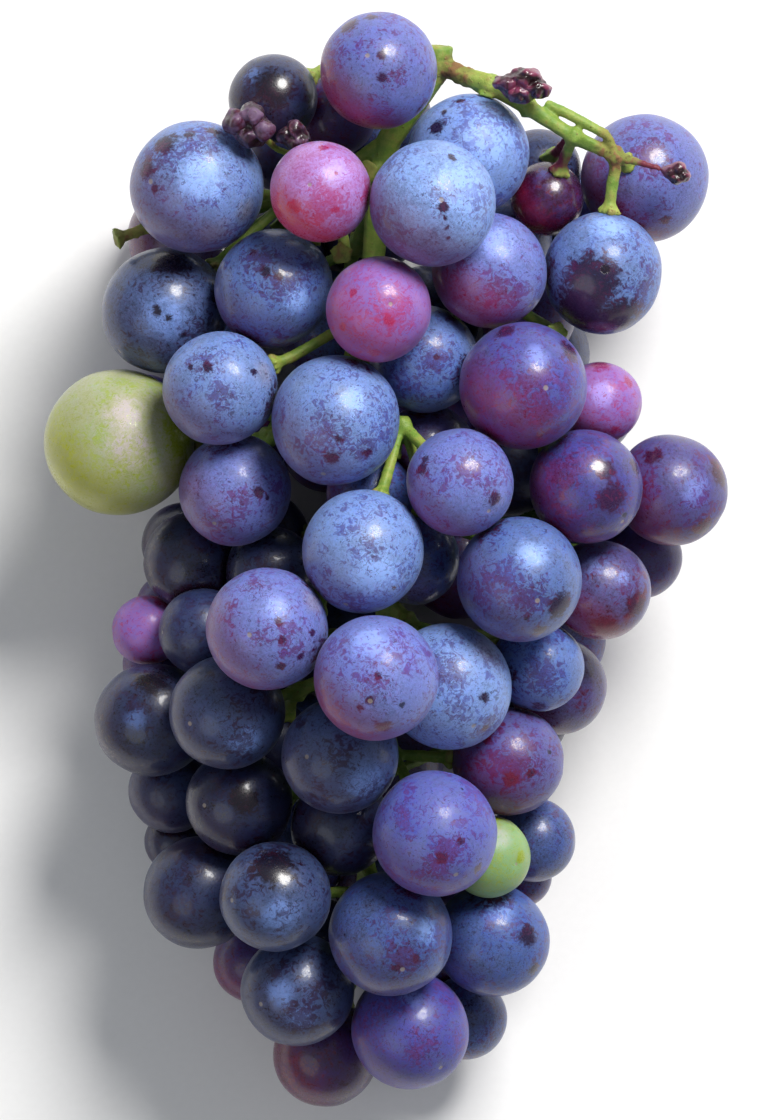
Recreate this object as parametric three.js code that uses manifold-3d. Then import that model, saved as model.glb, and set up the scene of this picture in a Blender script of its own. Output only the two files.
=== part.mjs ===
// A bunch of dark grapes, as picked, lying on its back on a flat surface.
// Millimetres, +Z up. +Y runs along the bunch to its stem end and +X across it,
// so looking straight down shows the bunch from the front with its stem end at the top.

import * as THREE from "three";
import { mergeVertices } from "three/addons/utils/BufferGeometryUtils.js";
import Module from "manifold-3d";

const wasm = await Module();
wasm.setup();

// ---------------------------------------------------------------- driving dimensions

const BUNCH_LENGTH = 164; // stem end to tip
const BUNCH_WIDTH = 103; // across the shoulders
const BUNCH_DEPTH = 64; // surface to the top of the highest berry
const BERRY_DIAMETER = 18; // an ordinary full berry
const BERRY_SLIMNESS = 0.97; // width over length, the length being along its stalk
const TRUNK_DIAMETER = 4.4; // main stem at the stem end
const TRUNK_TIP_DIAMETER = 2.4; // main stem at its far end
const BRANCH_DIAMETER = 2.8; // side branch where it leaves the main stem
const STALK_DIAMETER = 1.9; // the stalk of one berry
const COLLAR_DIAMETER = 4.0; // warty cap at the end of a stalk, where the berry sits
const COLLAR_LENGTH = 1.4;
const DRY_STALK_DIAMETER = 1.1; // stalk of a berry that dried, which has no collar left
const STALK_END = 3.4; // straight end of a stalk, collar included
const GAP = 0.3; // berry to berry, and stalk to its own berry
const STEM_CLEARANCE = 0.5; // berry to a stem that passes it
const PRESS = 1.6; // how far berries that are joined are pressed into each other
const RESTING_DEPTH = 0.9; // how far the lowest berries are flattened by the surface

// The places below are written for a bunch of this size and follow the sizes above.
const DRAWN = { width: 103, length: 164, depth: 64 };
const place = (x, y, z) =>
  new THREE.Vector3(
    (x * BUNCH_WIDTH) / DRAWN.width,
    (y * BUNCH_LENGTH) / DRAWN.length,
    (z * BUNCH_DEPTH) / DRAWN.depth,
  );

// ---------------------------------------------------------------- colours

const COLOURS = {
  blue: 0x5f7fc0,
  violet: 0x6f66b4,
  plum: 0x5a2148,
  pink: 0xb8609a,
  green: 0x9fae52,
  slate: 0x2f3656,
  raisin: 0x4a2132,
  stem: 0x86a83c,
};

const SKIN_ROUGHNESS = 0.5;
const skin = (colour) =>
  new THREE.MeshStandardMaterial({ color: COLOURS[colour], roughness: SKIN_ROUGHNESS, metalness: 0 });

// ---------------------------------------------------------------- the plan of the bunch

// The main stem, from its cut end to the tip of the bunch.
const TRUNK = [
  place(8.9, 77.3, 40.5),
  place(8.8, 74.4, 40),
  place(5.5, 69.5, 38),
  place(1.4, 63.5, 35.5),
  place(0, 59, 34),
  place(-1, 45, 32),
  place(-3, 27, 30),
  place(-1, 8, 29),
  place(1, -10, 28),
  place(0, -28, 25),
  place(-2, -45, 21),
  place(-3, -60, 17),
];

// The bare arm that leaves the main stem beside its cut end and carries the right shoulder.
const ARM = [
  place(9.6, 74.3, 40.5),
  place(13.0, 72.6, 42),
  place(16.4, 71.5, 43),
  place(22.2, 68.0, 43.5),
  place(29.1, 63.6, 43),
  place(35.4, 60.8, 41.5),
];
const ARM_GIRTH = [1.1, 1.1, 1.12, 0.95, 0.82, 0.8]; // over a side branch's, along the arm

// One row for each berry: across, along and height of its middle, its size beside an ordinary
// berry, its colour, and the letter of the group it is joined to, if any.
// Berries with a height of 0 lie on the surface. A berry that dried on its stalk is a raisin:
// its name, place and radius, and how far it is stretched along X, Y and Z.
// A stub is an empty stalk, where a berry fell off: its bend and its warty end.
const BRANCHES = [
  {
    path: ARM,
    raisins: [
      ["raisin_on_arm", 21.2, 71.0, 49, 3.7, [1.3, 0.86, 0.86]],
      ["raisin_on_thin_stalk", 44.6, 58.0, 43, 2.2, [1, 0.95, 0.9]],
    ],
    berries: [
      [40.2, 58.0, 27, 1.09, "violet"],
      [32.6, 42.8, 38, 1.0, "blue"],
      [25.0, 54.4, 34, 0.62, "plum"],
      [14.0, 61.5, 42, 1.02, "blue"],
      [25.5, 61.2, 23, 0.72, "slate", "b"],
    ],
  },
  {
    from: 71,
    berries: [
      [-0.2, 73.2, 50, 0.98, "violet"],
      [-15.5, 69.0, 36, 0.74, "slate"],
      [-8.2, 68.2, 33, 0.74, "plum", "a"],
      [-14.0, 64.0, 0, 0.9, "slate", "a"],
      [0.0, 67.0, 0, 0.9, "slate", "a"],
      [-5.0, 66.0, 20, 0.76, "slate", "a"],
    ],
  },
  {
    from: 64,
    raisins: [
      ["raisin_left_large", -19.6, 64.6, 45, 4.1, [1, 1, 0.85]],
      ["raisin_left_small", -13.4, 63.4, 46, 2.7, [1, 1, 0.95]],
    ],
    stubs: [[place(-34.5, 50.4, 33), place(-40.0, 48.6, 34)]],
    berries: [
      [-27.0, 56.1, 44, 1.13, "blue"],
      [-32.5, 37.8, 33, 1.07, "slate"],
      [-25.0, 45.0, 20, 0.74, "slate", "c"],
      [-32.0, 50.0, 0, 0.94, "slate", "c"],
      [-29.0, 57.5, 22, 0.8, "slate", "c"],
      [-16.5, 48.0, 0, 0.9, "slate", "c"],
    ],
  },
  {
    from: 60,
    stubs: [
      [place(-1.6, 59.4, 41), place(-2.0, 58.4, 44)],
      [place(-5.2, 46.4, 41), place(-5.8, 46.0, 44)],
    ],
    berries: [
      [-8.7, 54.9, 54, 0.84, "pink"],
      [-16.2, 41.0, 42, 0.99, "blue"],
    ],
  },
  {
    from: 61,
    berries: [
      [7.8, 53.0, 54, 1.05, "blue"],
      [16.2, 43.5, 44, 0.97, "violet"],
      [18.0, 49.5, 30, 0.78, "blue", "b"],
    ],
  },
  {
    from: 56,
    berries: [
      [0.0, 53.0, 0, 0.92, "slate", "c"],
      [-8.0, 37.0, 0, 0.95, "slate", "c"],
      [9.0, 38.0, 0, 0.9, "slate", "c"],
      [-27.0, 35.0, 0, 0.94, "slate", "c"],
    ],
  },
  {
    from: 50,
    stubs: [[place(26.2, 34.6, 36), place(26.6, 34.2, 39)]],
    berries: [
      [16.0, 61.0, 0, 0.9, "slate", "b"],
      [34.5, 53.0, 0, 0.9, "slate", "b"],
      [21.0, 46.0, 0, 0.9, "slate", "b"],
      [24.5, 31.0, 0, 0.94, "slate", "b"],
      [23.0, 35.5, 24, 0.8, "plum", "b"],
    ],
  },
  {
    from: 46,
    berries: [
      [-0.2, 37.4, 53, 0.88, "pink"],
      [7.5, 29.7, 41, 0.9, "blue"],
      [-6.9, 21.0, 49, 1.08, "blue"],
      [-23.6, 25.0, 43, 0.95, "blue"],
    ],
  },
  {
    from: 40,
    berries: [
      [20.4, 25.6, 47, 1.07, "violet"],
      [33.2, 23.7, 35, 0.68, "pink"],
      [30.8, 10.6, 43, 0.96, "violet"],
      [43.8, 10.6, 33, 0.94, "plum"],
      [31.0, 24.5, 16, 0.78, "slate", "m"],
      [31.5, 11.5, 21, 0.84, "slate", "m"],
    ],
  },
  {
    from: 30,
    berries: [
      [-39.5, 17.8, 32, 1.24, "green"],
      [-21.6, 10.5, 37, 0.95, "violet"],
      [-31.0, 4.5, 14, 0.7, "slate", "g"],
      [-28.5, 0.0, 27, 0.84, "slate", "g"],
    ],
  },
  {
    from: 24,
    berries: [
      [-38.0, 21.0, 0, 0.9, "slate", "m"],
      [-22.5, 18.5, 0, 0.92, "slate", "m"],
      [-10.0, 20.0, 0, 0.9, "slate", "m"],
      [7.0, 21.0, 0, 0.92, "slate", "m"],
      [23.0, 14.5, 0, 0.92, "slate", "m"],
    ],
  },
  {
    from: 20,
    berries: [
      [12.4, 12.1, 51, 0.9, "violet"],
      [5.7, 19.2, 30, 0.8, "plum", "f"],
      [-1.2, 11.0, 38, 0.74, "blue", "f"],
      [6.8, -2.3, 39, 0.76, "blue", "f"],
      [-3.0, 0.9, 51, 1.02, "blue"],
    ],
  },
  {
    from: 10,
    berries: [
      [21.2, -2.3, 47, 1.05, "blue"],
      [33.3, -4.5, 34, 0.84, "plum"],
      [41.3, -1.8, 21, 0.7, "slate", "m"],
    ],
  },
  {
    from: 6,
    berries: [
      [-18.0, 4.0, 0, 0.9, "slate", "g"],
      [-2.0, 4.0, 0, 0.92, "slate", "m"],
      [14.0, -1.5, 0, 0.94, "slate", "m"],
      [32.5, 6.0, 0, 0.86, "slate", "m"],
    ],
  },
  {
    from: 3,
    berries: [
      [-16.8, -10.8, 45, 1.02, "violet"],
      [-18.8, -1.5, 34, 0.78, "slate", "g"],
      [-26.0, -12.0, 31, 0.74, "slate", "g"],
      [-35.0, -10.5, 24, 0.58, "pink"],
      [-32.0, -8.0, 14, 0.6, "plum", "g"],
      [-34.5, -16.5, 17, 0.58, "slate", "g"],
    ],
  },
  {
    from: -6,
    berries: [
      [-0.2, -17.6, 52, 1.04, "violet"],
      [10.8, -18.9, 41, 1.07, "blue"],
      [23.2, -16.4, 31, 0.76, "blue"],
      [26.5, -19.5, 17, 0.82, "plum"],
    ],
  },
  {
    from: -9,
    berries: [
      [-23.0, -14.0, 0, 0.92, "slate", "o"],
      [-6.5, -12.5, 0, 0.9, "slate", "o"],
      [9.5, -17.0, 0, 0.94, "slate", "o"],
      [29.5, -8.5, 0, 0.8, "slate", "o"],
    ],
  },
  {
    from: -14,
    berries: [
      [-34.5, -24.3, 28, 0.96, "slate"],
      [-22.5, -22.8, 39, 0.97, "slate"],
      [-17.7, -29.2, 24, 0.78, "slate", "o"],
    ],
  },
  {
    from: -22,
    berries: [
      [-29.0, -32.0, 0, 0.9, "slate", "o"],
      [-13.0, -28.5, 0, 0.9, "slate", "o"],
      [3.5, -32.5, 0, 0.92, "slate", "o"],
      [23.5, -28.0, 0, 0.84, "slate", "o"],
    ],
  },
  {
    from: -23,
    berries: [
      [-5.6, -30.0, 41, 0.98, "slate"],
      [19.2, -30.3, 34, 0.92, "plum"],
      [-6.5, -40.0, 33, 0.84, "slate"],
      [7.8, -41.0, 42, 1.06, "violet"],
    ],
  },
  {
    from: -30,
    berries: [
      [-20.7, -36.0, 35, 0.9, "slate"],
      [-32.2, -35.5, 19, 0.72, "plum", "o"],
      [-31.2, -43.0, 13, 0.54, "slate", "o"],
      [-27.3, -50.4, 25, 0.96, "slate"],
    ],
  },
  {
    from: -38,
    berries: [
      [16.5, -45.0, 31, 0.7, "green"],
      [23.3, -42.0, 25, 0.72, "blue", "r"],
      [22.5, -49.5, 15, 0.54, "slate", "r"],
      [17.5, -44.5, 0, 0.84, "slate", "r"],
      [1.5, -48.5, 0, 0.86, "slate", "r"],
      [-14.5, -45.0, 0, 0.86, "slate", "r"],
    ],
  },
  {
    from: -46,
    berries: [
      [-15.6, -50.3, 36, 0.93, "slate"],
      [1.7, -56.3, 36, 1.05, "blue"],
      [17.0, -57.5, 26, 0.96, "blue"],
    ],
  },
  {
    from: -57,
    berries: [
      [-12.5, -65.3, 27, 0.97, "slate"],
      [4.5, -71.3, 27, 1.01, "violet"],
      [-8.3, -75.6, 14, 0.9, "plum"],
      [13.2, -70.5, 13, 0.72, "blue", "r"],
      [-22.8, -62.7, 13, 0.7, "plum", "r"],
      [-9.5, -60.5, 0, 0.78, "slate", "r"],
      [7.0, -63.5, 0, 0.8, "slate", "r"],
    ],
  },
];

// A thinner stalk that runs beside the arm and ends in a knuckle at the arm's own node.
const TWIN_STALK = [
  place(24.9, 68.5, 42.8),
  place(28.4, 66.9, 43.5),
  place(33.9, 63.9, 43.2),
  place(35.4, 60.8, 41.5),
];

// ---------------------------------------------------------------- settling the bunch

// Everything that can shift while the bunch settles is a point. Freedom is how easily a
// point gives way along X, Y and Z, and 0 holds it where it is.
const HELD = [0, 0, 0];
const FRONT_BERRY = [0.3, 0.3, 1];
const INNER_BERRY = [0.8, 0.8, 1];
const STEM_POINT = [1, 1, 1];

const points = [];
const berries = [];
const stems = [];
const sideBranches = [];
const emptyStalks = [];

function addPoint(at, freedom) {
  points.push({ at: at.clone(), home: at.clone(), freedom });
  return points.length - 1;
}

// Shares out a shift of the points along a direction, by their freedom and their lever.
function shift(shares, nx, ny, nz, amount) {
  let give = 0;
  for (const [point, lever] of shares) {
    const [fx, fy, fz] = points[point].freedom;
    give += lever * lever * (fx * nx * nx + fy * ny * ny + fz * nz * nz);
  }
  if (give === 0) {
    return;
  }
  for (const [point, lever] of shares) {
    const { at, freedom } = points[point];
    const step = (amount * lever) / give;
    at.x += step * freedom[0] * nx;
    at.y += step * freedom[1] * ny;
    at.z += step * freedom[2] * nz;
  }
}

// Keeps two points apart by a distance, or at exactly that distance.
function spaceOut(a, b, distance, exactly) {
  const from = points[b].at;
  const to = points[a].at;
  const dx = to.x - from.x;
  const dy = to.y - from.y;
  const dz = to.z - from.z;
  const squared = dx * dx + dy * dy + dz * dz;
  if (!exactly && squared >= distance * distance) {
    return;
  }
  const length = Math.sqrt(squared) || 1e-6;
  shift([[a, 1], [b, -1]], dx / length, dy / length, dz / length, distance - length);
}

// Keeps a berry clear of a straight run of stem.
function clearOfStem(berry, stem) {
  const centre = points[berry.point].at;
  const start = points[stem.from].at;
  const end = points[stem.to].at;
  const wanted = berry.girth + stem.radius + STEM_CLEARANCE;
  const ex = end.x - start.x;
  const ey = end.y - start.y;
  const ez = end.z - start.z;
  const cx = centre.x - start.x;
  const cy = centre.y - start.y;
  const cz = centre.z - start.z;
  const t = THREE.MathUtils.clamp((cx * ex + cy * ey + cz * ez) / (ex * ex + ey * ey + ez * ez), 0, 1);
  const dx = cx - ex * t;
  const dy = cy - ey * t;
  const dz = cz - ez * t;
  const squared = dx * dx + dy * dy + dz * dz;
  if (squared >= wanted * wanted) {
    return;
  }
  const length = Math.sqrt(squared) || 1e-6;
  const shares = [[berry.point, 1], [stem.from, t - 1], [stem.to, -t]];
  shift(shares, dx / length, dy / length, dz / length, wanted - length);
}

function addStem(from, to, radius, owner = null) {
  stems.push({ from, to, radius, owner });
}

// A run of fixed points with a stem between each two.
function fixedStem(path, radius) {
  const held = path.map((at) => addPoint(at, HELD));
  for (let i = 1; i < held.length; i += 1) {
    addStem(held[i - 1], held[i], radius);
  }
  return held;
}

// The point of the main stem at a place along the bunch.
function onTrunk(along) {
  const y = (along * BUNCH_LENGTH) / DRAWN.length;
  for (let i = 1; i < TRUNK.length; i += 1) {
    if (TRUNK[i].y <= y) {
      const share = (TRUNK[i - 1].y - y) / (TRUNK[i - 1].y - TRUNK[i].y);
      return TRUNK[i - 1].clone().lerp(TRUNK[i], share);
    }
  }
  return TRUNK.at(-1).clone();
}

const BRANCH_REACH = [0.28, 0.52]; // bend and end of a side branch, on the way to its berries

function plantBranch({ path, from, berries: rows, raisins = [], stubs = [] }) {
  const homes = rows.map(([x, y, z, size]) => {
    const lying = (size * BERRY_DIAMETER) / 2 - RESTING_DEPTH;
    return z === 0 ? place(x, y, 0).setZ(lying) : place(x, y, z);
  });
  let nodes;
  if (path) {
    nodes = fixedStem(path, BRANCH_DIAMETER / 2).slice(2);
  } else {
    const root = onTrunk(from);
    const middle = homes.reduce((sum, home) => sum.add(home), new THREE.Vector3()).divideScalar(homes.length);
    const base = addPoint(root, HELD);
    const [bend, end] = BRANCH_REACH.map((share) => addPoint(root.clone().lerp(middle, share), STEM_POINT));
    addStem(base, bend, BRANCH_DIAMETER / 2);
    addStem(bend, end, BRANCH_DIAMETER / 2);
    sideBranches.push([base, bend, end]);
    nodes = [bend, end];
  }
  rows.forEach(([, , , size, colour, group = null], i) => {
    const freedom = group ? INNER_BERRY : FRONT_BERRY;
    plantBerry(homes[i], (size * BERRY_DIAMETER) / 2, { colour, group, freedom, nodes });
  });
  for (const [name, x, y, z, radius, stretch] of raisins) {
    const about = { name, stretch, colour: "raisin", group: null, freedom: FRONT_BERRY, nodes };
    plantBerry(place(x, y, z), radius, about);
  }
  for (const [bend, end] of stubs) {
    const [near, far] = [addPoint(bend, HELD), addPoint(end, HELD)];
    const node = nodes.at(-1);
    addStem(node, near, STALK_DIAMETER / 2);
    addStem(near, far, COLLAR_DIAMETER / 2);
    emptyStalks.push({ node, bend: near, seat: far });
  }
}

// A berry and its stalk, which leaves the nearest node of its branch. Its girth is the radius
// of a ball that its neighbours keep clear of; along its stalk it reaches a little further.
function plantBerry(home, radius, { nodes, freedom, ...about }) {
  const centre = addPoint(home, freedom);
  const node = nodes.reduce((best, other) =>
    points[other].at.distanceTo(home) < points[best].at.distanceTo(home) ? other : best,
  );
  const inward = points[node].at.clone().sub(home).normalize();
  const seat = addPoint(home.clone().addScaledVector(inward, radius + GAP), STEM_POINT);
  const bend = addPoint(home.clone().addScaledVector(inward, radius + GAP + STALK_END), STEM_POINT);
  const girth = (radius * (1 + BERRY_SLIMNESS)) / 2;
  const berry = { point: centre, radius, girth, node, seat, bend, ...about };
  berries.push(berry);
  addStem(node, bend, STALK_DIAMETER / 2);
  addStem(bend, seat, (STALK_DIAMETER + COLLAR_DIAMETER) / 4, berry);
  return berry;
}

// The shortest chain of links that ties each joined group together.
function linksOfGroups() {
  const links = [];
  const groups = Map.groupBy(berries.filter(({ group }) => group), ({ group }) => group);
  for (const members of groups.values()) {
    const tied = [members[0]];
    const loose = members.slice(1);
    while (loose.length > 0) {
      let best = { slack: Infinity };
      for (const a of tied) {
        for (const b of loose) {
          const slack = points[a.point].at.distanceTo(points[b.point].at) - a.girth - b.girth;
          if (slack < best.slack) {
            best = { a, b, slack };
          }
        }
      }
      links.push(best);
      tied.push(best.b);
      loose.splice(loose.indexOf(best.b), 1);
    }
  }
  return links;
}

const PULLED_ROUNDS = 700; // rounds in which everything is also drawn to its own place
const FREE_ROUNDS = 900; // rounds that only clear the overlaps that are left
const BERRY_PULL = 0.12;
const HEIGHT_PULL = 0.04;
const STALK_PULL = 0.1;

function settle() {
  const links = linksOfGroups();
  const linked = new Set(links.map(({ a, b }) => `${a.point} ${b.point}`));
  const isLinked = (a, b) => linked.has(`${a.point} ${b.point}`) || linked.has(`${b.point} ${a.point}`);
  const pairs = [];
  berries.forEach((a, i) => {
    for (const b of berries.slice(i + 1)) {
      if (!isLinked(a, b)) {
        pairs.push([a.point, b.point, a.girth + b.girth + GAP]);
      }
    }
  });
  for (let round = 0; round < PULLED_ROUNDS + FREE_ROUNDS; round += 1) {
    const pull = Math.max(0, 1 - round / PULLED_ROUNDS);
    for (const berry of berries) {
      const { at, home } = points[berry.point];
      const sideways = pull * BERRY_PULL;
      at.x += (home.x - at.x) * sideways;
      at.y += (home.y - at.y) * sideways;
      at.z += (home.z - at.z) * pull * HEIGHT_PULL;
      const inward = points[berry.node].at.clone().sub(at).normalize();
      const seat = at.clone().addScaledVector(inward, berry.radius + GAP);
      points[berry.seat].at.lerp(seat, pull * STALK_PULL);
      points[berry.bend].at.lerp(seat.addScaledVector(inward, STALK_END), pull * STALK_PULL);
    }
    for (const [a, b, distance] of pairs) {
      spaceOut(a, b, distance, false);
    }
    for (const { a, b } of links) {
      spaceOut(a.point, b.point, a.girth + b.girth - PRESS, true);
    }
    for (const stem of stems) {
      for (const berry of berries) {
        if (stem.owner !== berry) {
          clearOfStem(berry, stem);
        }
      }
    }
    for (const { point, radius, seat, bend } of berries) {
      spaceOut(point, seat, radius + GAP, true);
      spaceOut(point, bend, radius + GAP + STALK_END, true);
      spaceOut(seat, bend, STALK_END, true);
      const { at } = points[point];
      at.z = Math.max(at.z, radius - RESTING_DEPTH);
      for (const end of [seat, bend]) {
        points[end].at.z = Math.max(points[end].at.z, COLLAR_DIAMETER / 2 + GAP);
      }
    }
  }
}

// ---------------------------------------------------------------- shapes

function toSolid(geometry) {
  const bare = new THREE.BufferGeometry();
  bare.setAttribute("position", geometry.getAttribute("position"));
  bare.setIndex(geometry.getIndex());
  const closed = mergeVertices(bare, 1e-4);
  const triVerts = Uint32Array.from(closed.getIndex().array);
  return new wasm.Manifold(
    new wasm.Mesh({
      numProp: 3,
      vertProperties: Float32Array.from(closed.getAttribute("position").array),
      triVerts,
    }),
  );
}

function toGeometry(solid) {
  const { vertProperties, triVerts } = solid.getMesh();
  const geometry = new THREE.BufferGeometry();
  geometry.setAttribute("position", new THREE.BufferAttribute(vertProperties, 3));
  geometry.setIndex(new THREE.BufferAttribute(triVerts, 1));
  return geometry;
}

// The same shape without the sealed pockets that are left where stalks cross each other.
function withoutPockets(geometry) {
  const position = geometry.getAttribute("position");
  const index = geometry.getIndex().array;
  const shell = Array.from({ length: position.count }, (_, i) => i);
  const shellOf = (i) => {
    while (shell[i] !== i) {
      shell[i] = shell[shell[i]];
      i = shell[i];
    }
    return i;
  };
  for (let i = 0; i < index.length; i += 3) {
    shell[shellOf(index[i + 1])] = shellOf(index[i]);
    shell[shellOf(index[i + 2])] = shellOf(index[i]);
  }
  const volumes = new Map();
  const corner = (i) => new THREE.Vector3().fromBufferAttribute(position, index[i]);
  for (let i = 0; i < index.length; i += 3) {
    const own = shellOf(index[i]);
    const volume = corner(i).dot(corner(i + 1).cross(corner(i + 2))) / 6;
    volumes.set(own, (volumes.get(own) ?? 0) + volume);
  }
  const kept = [];
  for (let i = 0; i < index.length; i += 3) {
    if (volumes.get(shellOf(index[i])) > 0) {
      kept.push(index[i], index[i + 1], index[i + 2]);
    }
  }
  const whole = new THREE.BufferGeometry();
  whole.setAttribute("position", position);
  whole.setIndex(kept);
  return whole;
}

// The same shape with its very short edges closed up, which joining many bars leaves behind.
function withoutSlivers(geometry, shortest) {
  const position = geometry.getAttribute("position");
  const corners = Array.from({ length: position.count }, (_, i) =>
    new THREE.Vector3().fromBufferAttribute(position, i),
  );
  const faces = [];
  const around = corners.map(() => new Set());
  const index = geometry.getIndex().array;
  for (let i = 0; i < index.length; i += 3) {
    const face = [index[i], index[i + 1], index[i + 2]];
    face.forEach((corner) => around[corner].add(face));
    faces.push(face);
  }
  const gone = new Set();
  const neighbours = (corner) => new Set([...around[corner]].flat().filter((other) => other !== corner));
  const normalOf = (face) => {
    const [a, b, c] = face.map((corner) => corners[corner]);
    return b.clone().sub(a).cross(c.clone().sub(a));
  };
  // Closing an edge is safe when its ends share just two neighbours and no face turns over.
  const close = (kept, dropped) => {
    const own = neighbours(kept);
    const shared = [...neighbours(dropped)].filter((other) => own.has(other));
    if (shared.length !== 2) {
      return false;
    }
    const moving = [...around[dropped]].filter((face) => !face.includes(kept));
    const turned = moving.some((face) => {
      const before = normalOf(face);
      const after = face.map((corner) => (corner === dropped ? kept : corner));
      const now = normalOf(after);
      return now.length() < 1e-4 || (before.length() > 1e-3 && before.normalize().dot(now.normalize()) < 0.3);
    });
    if (turned) {
      return false;
    }
    for (const face of [...around[dropped]]) {
      if (face.includes(kept)) {
        gone.add(face);
        face.forEach((corner) => around[corner].delete(face));
      } else {
        face[face.indexOf(dropped)] = kept;
        around[kept].add(face);
      }
    }
    around[dropped].clear();
    return true;
  };
  let closed = true;
  while (closed) {
    closed = false;
    for (const face of faces) {
      for (let side = 0; side < 3 && !gone.has(face); side += 1) {
        const [a, b] = [face[side], face[(side + 1) % 3]];
        if (corners[a].distanceTo(corners[b]) < shortest && (close(a, b) || close(b, a))) {
          closed = true;
        }
      }
    }
  }
  const whole = new THREE.BufferGeometry().setFromPoints(corners);
  whole.setIndex(faces.filter((face) => !gone.has(face)).flat());
  return mergeVertices(whole, 1e-4);
}

// A round bar along a path, with a radius at each point of it.
function bar(path, radii, sides) {
  const geometry = new THREE.CylinderGeometry(1, 1, 1, sides, path.length - 1);
  const position = geometry.getAttribute("position");
  const corner = new THREE.Vector3();
  let across = null;
  const rings = path.map((centre, i) => {
    const before = path[Math.max(0, i - 1)];
    const after = path[Math.min(path.length - 1, i + 1)];
    const along = after.clone().sub(before).normalize();
    if (!across) {
      const aside = Math.abs(along.z) > 0.8 ? new THREE.Vector3(1, 0, 0) : new THREE.Vector3(0, 0, 1);
      across = aside.cross(along).normalize();
    }
    across = across.clone().addScaledVector(along, -across.dot(along)).normalize();
    return { centre, radius: radii[i], across, other: along.clone().cross(across) };
  });
  for (let i = 0; i < position.count; i += 1) {
    corner.fromBufferAttribute(position, i);
    const ring = rings[Math.round((0.5 - corner.y) * (path.length - 1))];
    const spot = ring.centre
      .clone()
      .addScaledVector(ring.across, corner.x * ring.radius)
      .addScaledVector(ring.other, corner.z * ring.radius);
    position.setXYZ(i, spot.x, spot.y, spot.z);
  }
  return toSolid(geometry);
}

// The lower side of anything that lies on the surface is flat.
function restOnSurface(solid) {
  const size = 60;
  const below = new THREE.BoxGeometry(size, size, size);
  const { min, max } = solid.boundingBox();
  if (min[2] >= 0) {
    return solid;
  }
  below.translate((min[0] + max[0]) / 2, (min[1] + max[1]) / 2, -size / 2);
  return solid.subtract(toSolid(below));
}

// The swelling where stalks leave a stem.
function knot(at, radius) {
  const ball = new THREE.IcosahedronGeometry(radius, 0);
  ball.translate(at.x, at.y, at.z);
  return toSolid(ball);
}

// A berry is a ball, a little longer along its stalk than it is wide.
function berrySolid(berry, geometry) {
  const centre = points[berry.point].at;
  const axis = centre.clone().sub(points[berry.seat].at).normalize();
  const ball = geometry.clone();
  const position = ball.getAttribute("position");
  const corner = new THREE.Vector3();
  for (let i = 0; i < position.count; i += 1) {
    corner.fromBufferAttribute(position, i);
    const along = corner.dot(axis);
    corner.addScaledVector(axis, -along).multiplyScalar(BERRY_SLIMNESS).addScaledVector(axis, along);
    corner.multiplyScalar(berry.radius).add(centre);
    position.setXYZ(i, corner.x, corner.y, corner.z);
  }
  return restOnSurface(toSolid(ball));
}

// A dried berry is a few lumps grown into one, as shares of its size: the place and size of each.
const LUMPS = [
  [-0.48, 0.1, 0.0, 0.5],
  [0.1, 0.34, 0.12, 0.55],
  [0.46, -0.16, 0.0, 0.5],
  [-0.06, -0.4, -0.08, 0.5],
];
const STEM_END_LUMP = 0.5; // the lump that sits on the collar
const LUMP_HEIGHT = 1.7; // of a lump, over its width

function raisinSolid({ point, radius, stretch, seat }) {
  const centre = points[point].at;
  const reach = new THREE.Vector3(...stretch).multiplyScalar(radius);
  const lumps = LUMPS.map(([x, y, z, size]) => {
    const lump = new THREE.OctahedronGeometry(size, 1);
    lump.scale(reach.x, reach.y, reach.z * LUMP_HEIGHT);
    lump.translate(centre.x + x * reach.x, centre.y + y * reach.y, centre.z + z * reach.z);
    return toSolid(lump);
  });
  const inward = points[seat].at.clone().sub(centre).normalize();
  const stemEnd = new THREE.OctahedronGeometry(radius * STEM_END_LUMP, 2);
  stemEnd.translate(...inward.multiplyScalar(radius * (1 - STEM_END_LUMP)).add(centre).toArray());
  return lumps.reduce((whole, lump) => whole.add(lump), toSolid(stemEnd));
}

// ---------------------------------------------------------------- the stems, grown as one piece

const TRUNK_SIDES = 8;
const STEM_SIDES = 6;
const STALK_SIDES = 5;
const INNER_STALK_SIDES = 4;
const SHORTEST_EDGE = 0.5; // of the stem's faces
const BRANCH_GIRTH = [1, 0.85, 0.8]; // over its own diameter, from the main stem to its end
const STALK_WAIST = 0.9; // over the stalk's diameter, where it leaves the branch
const SWELLING = 1.3; // of a fork, over a side branch

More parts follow.
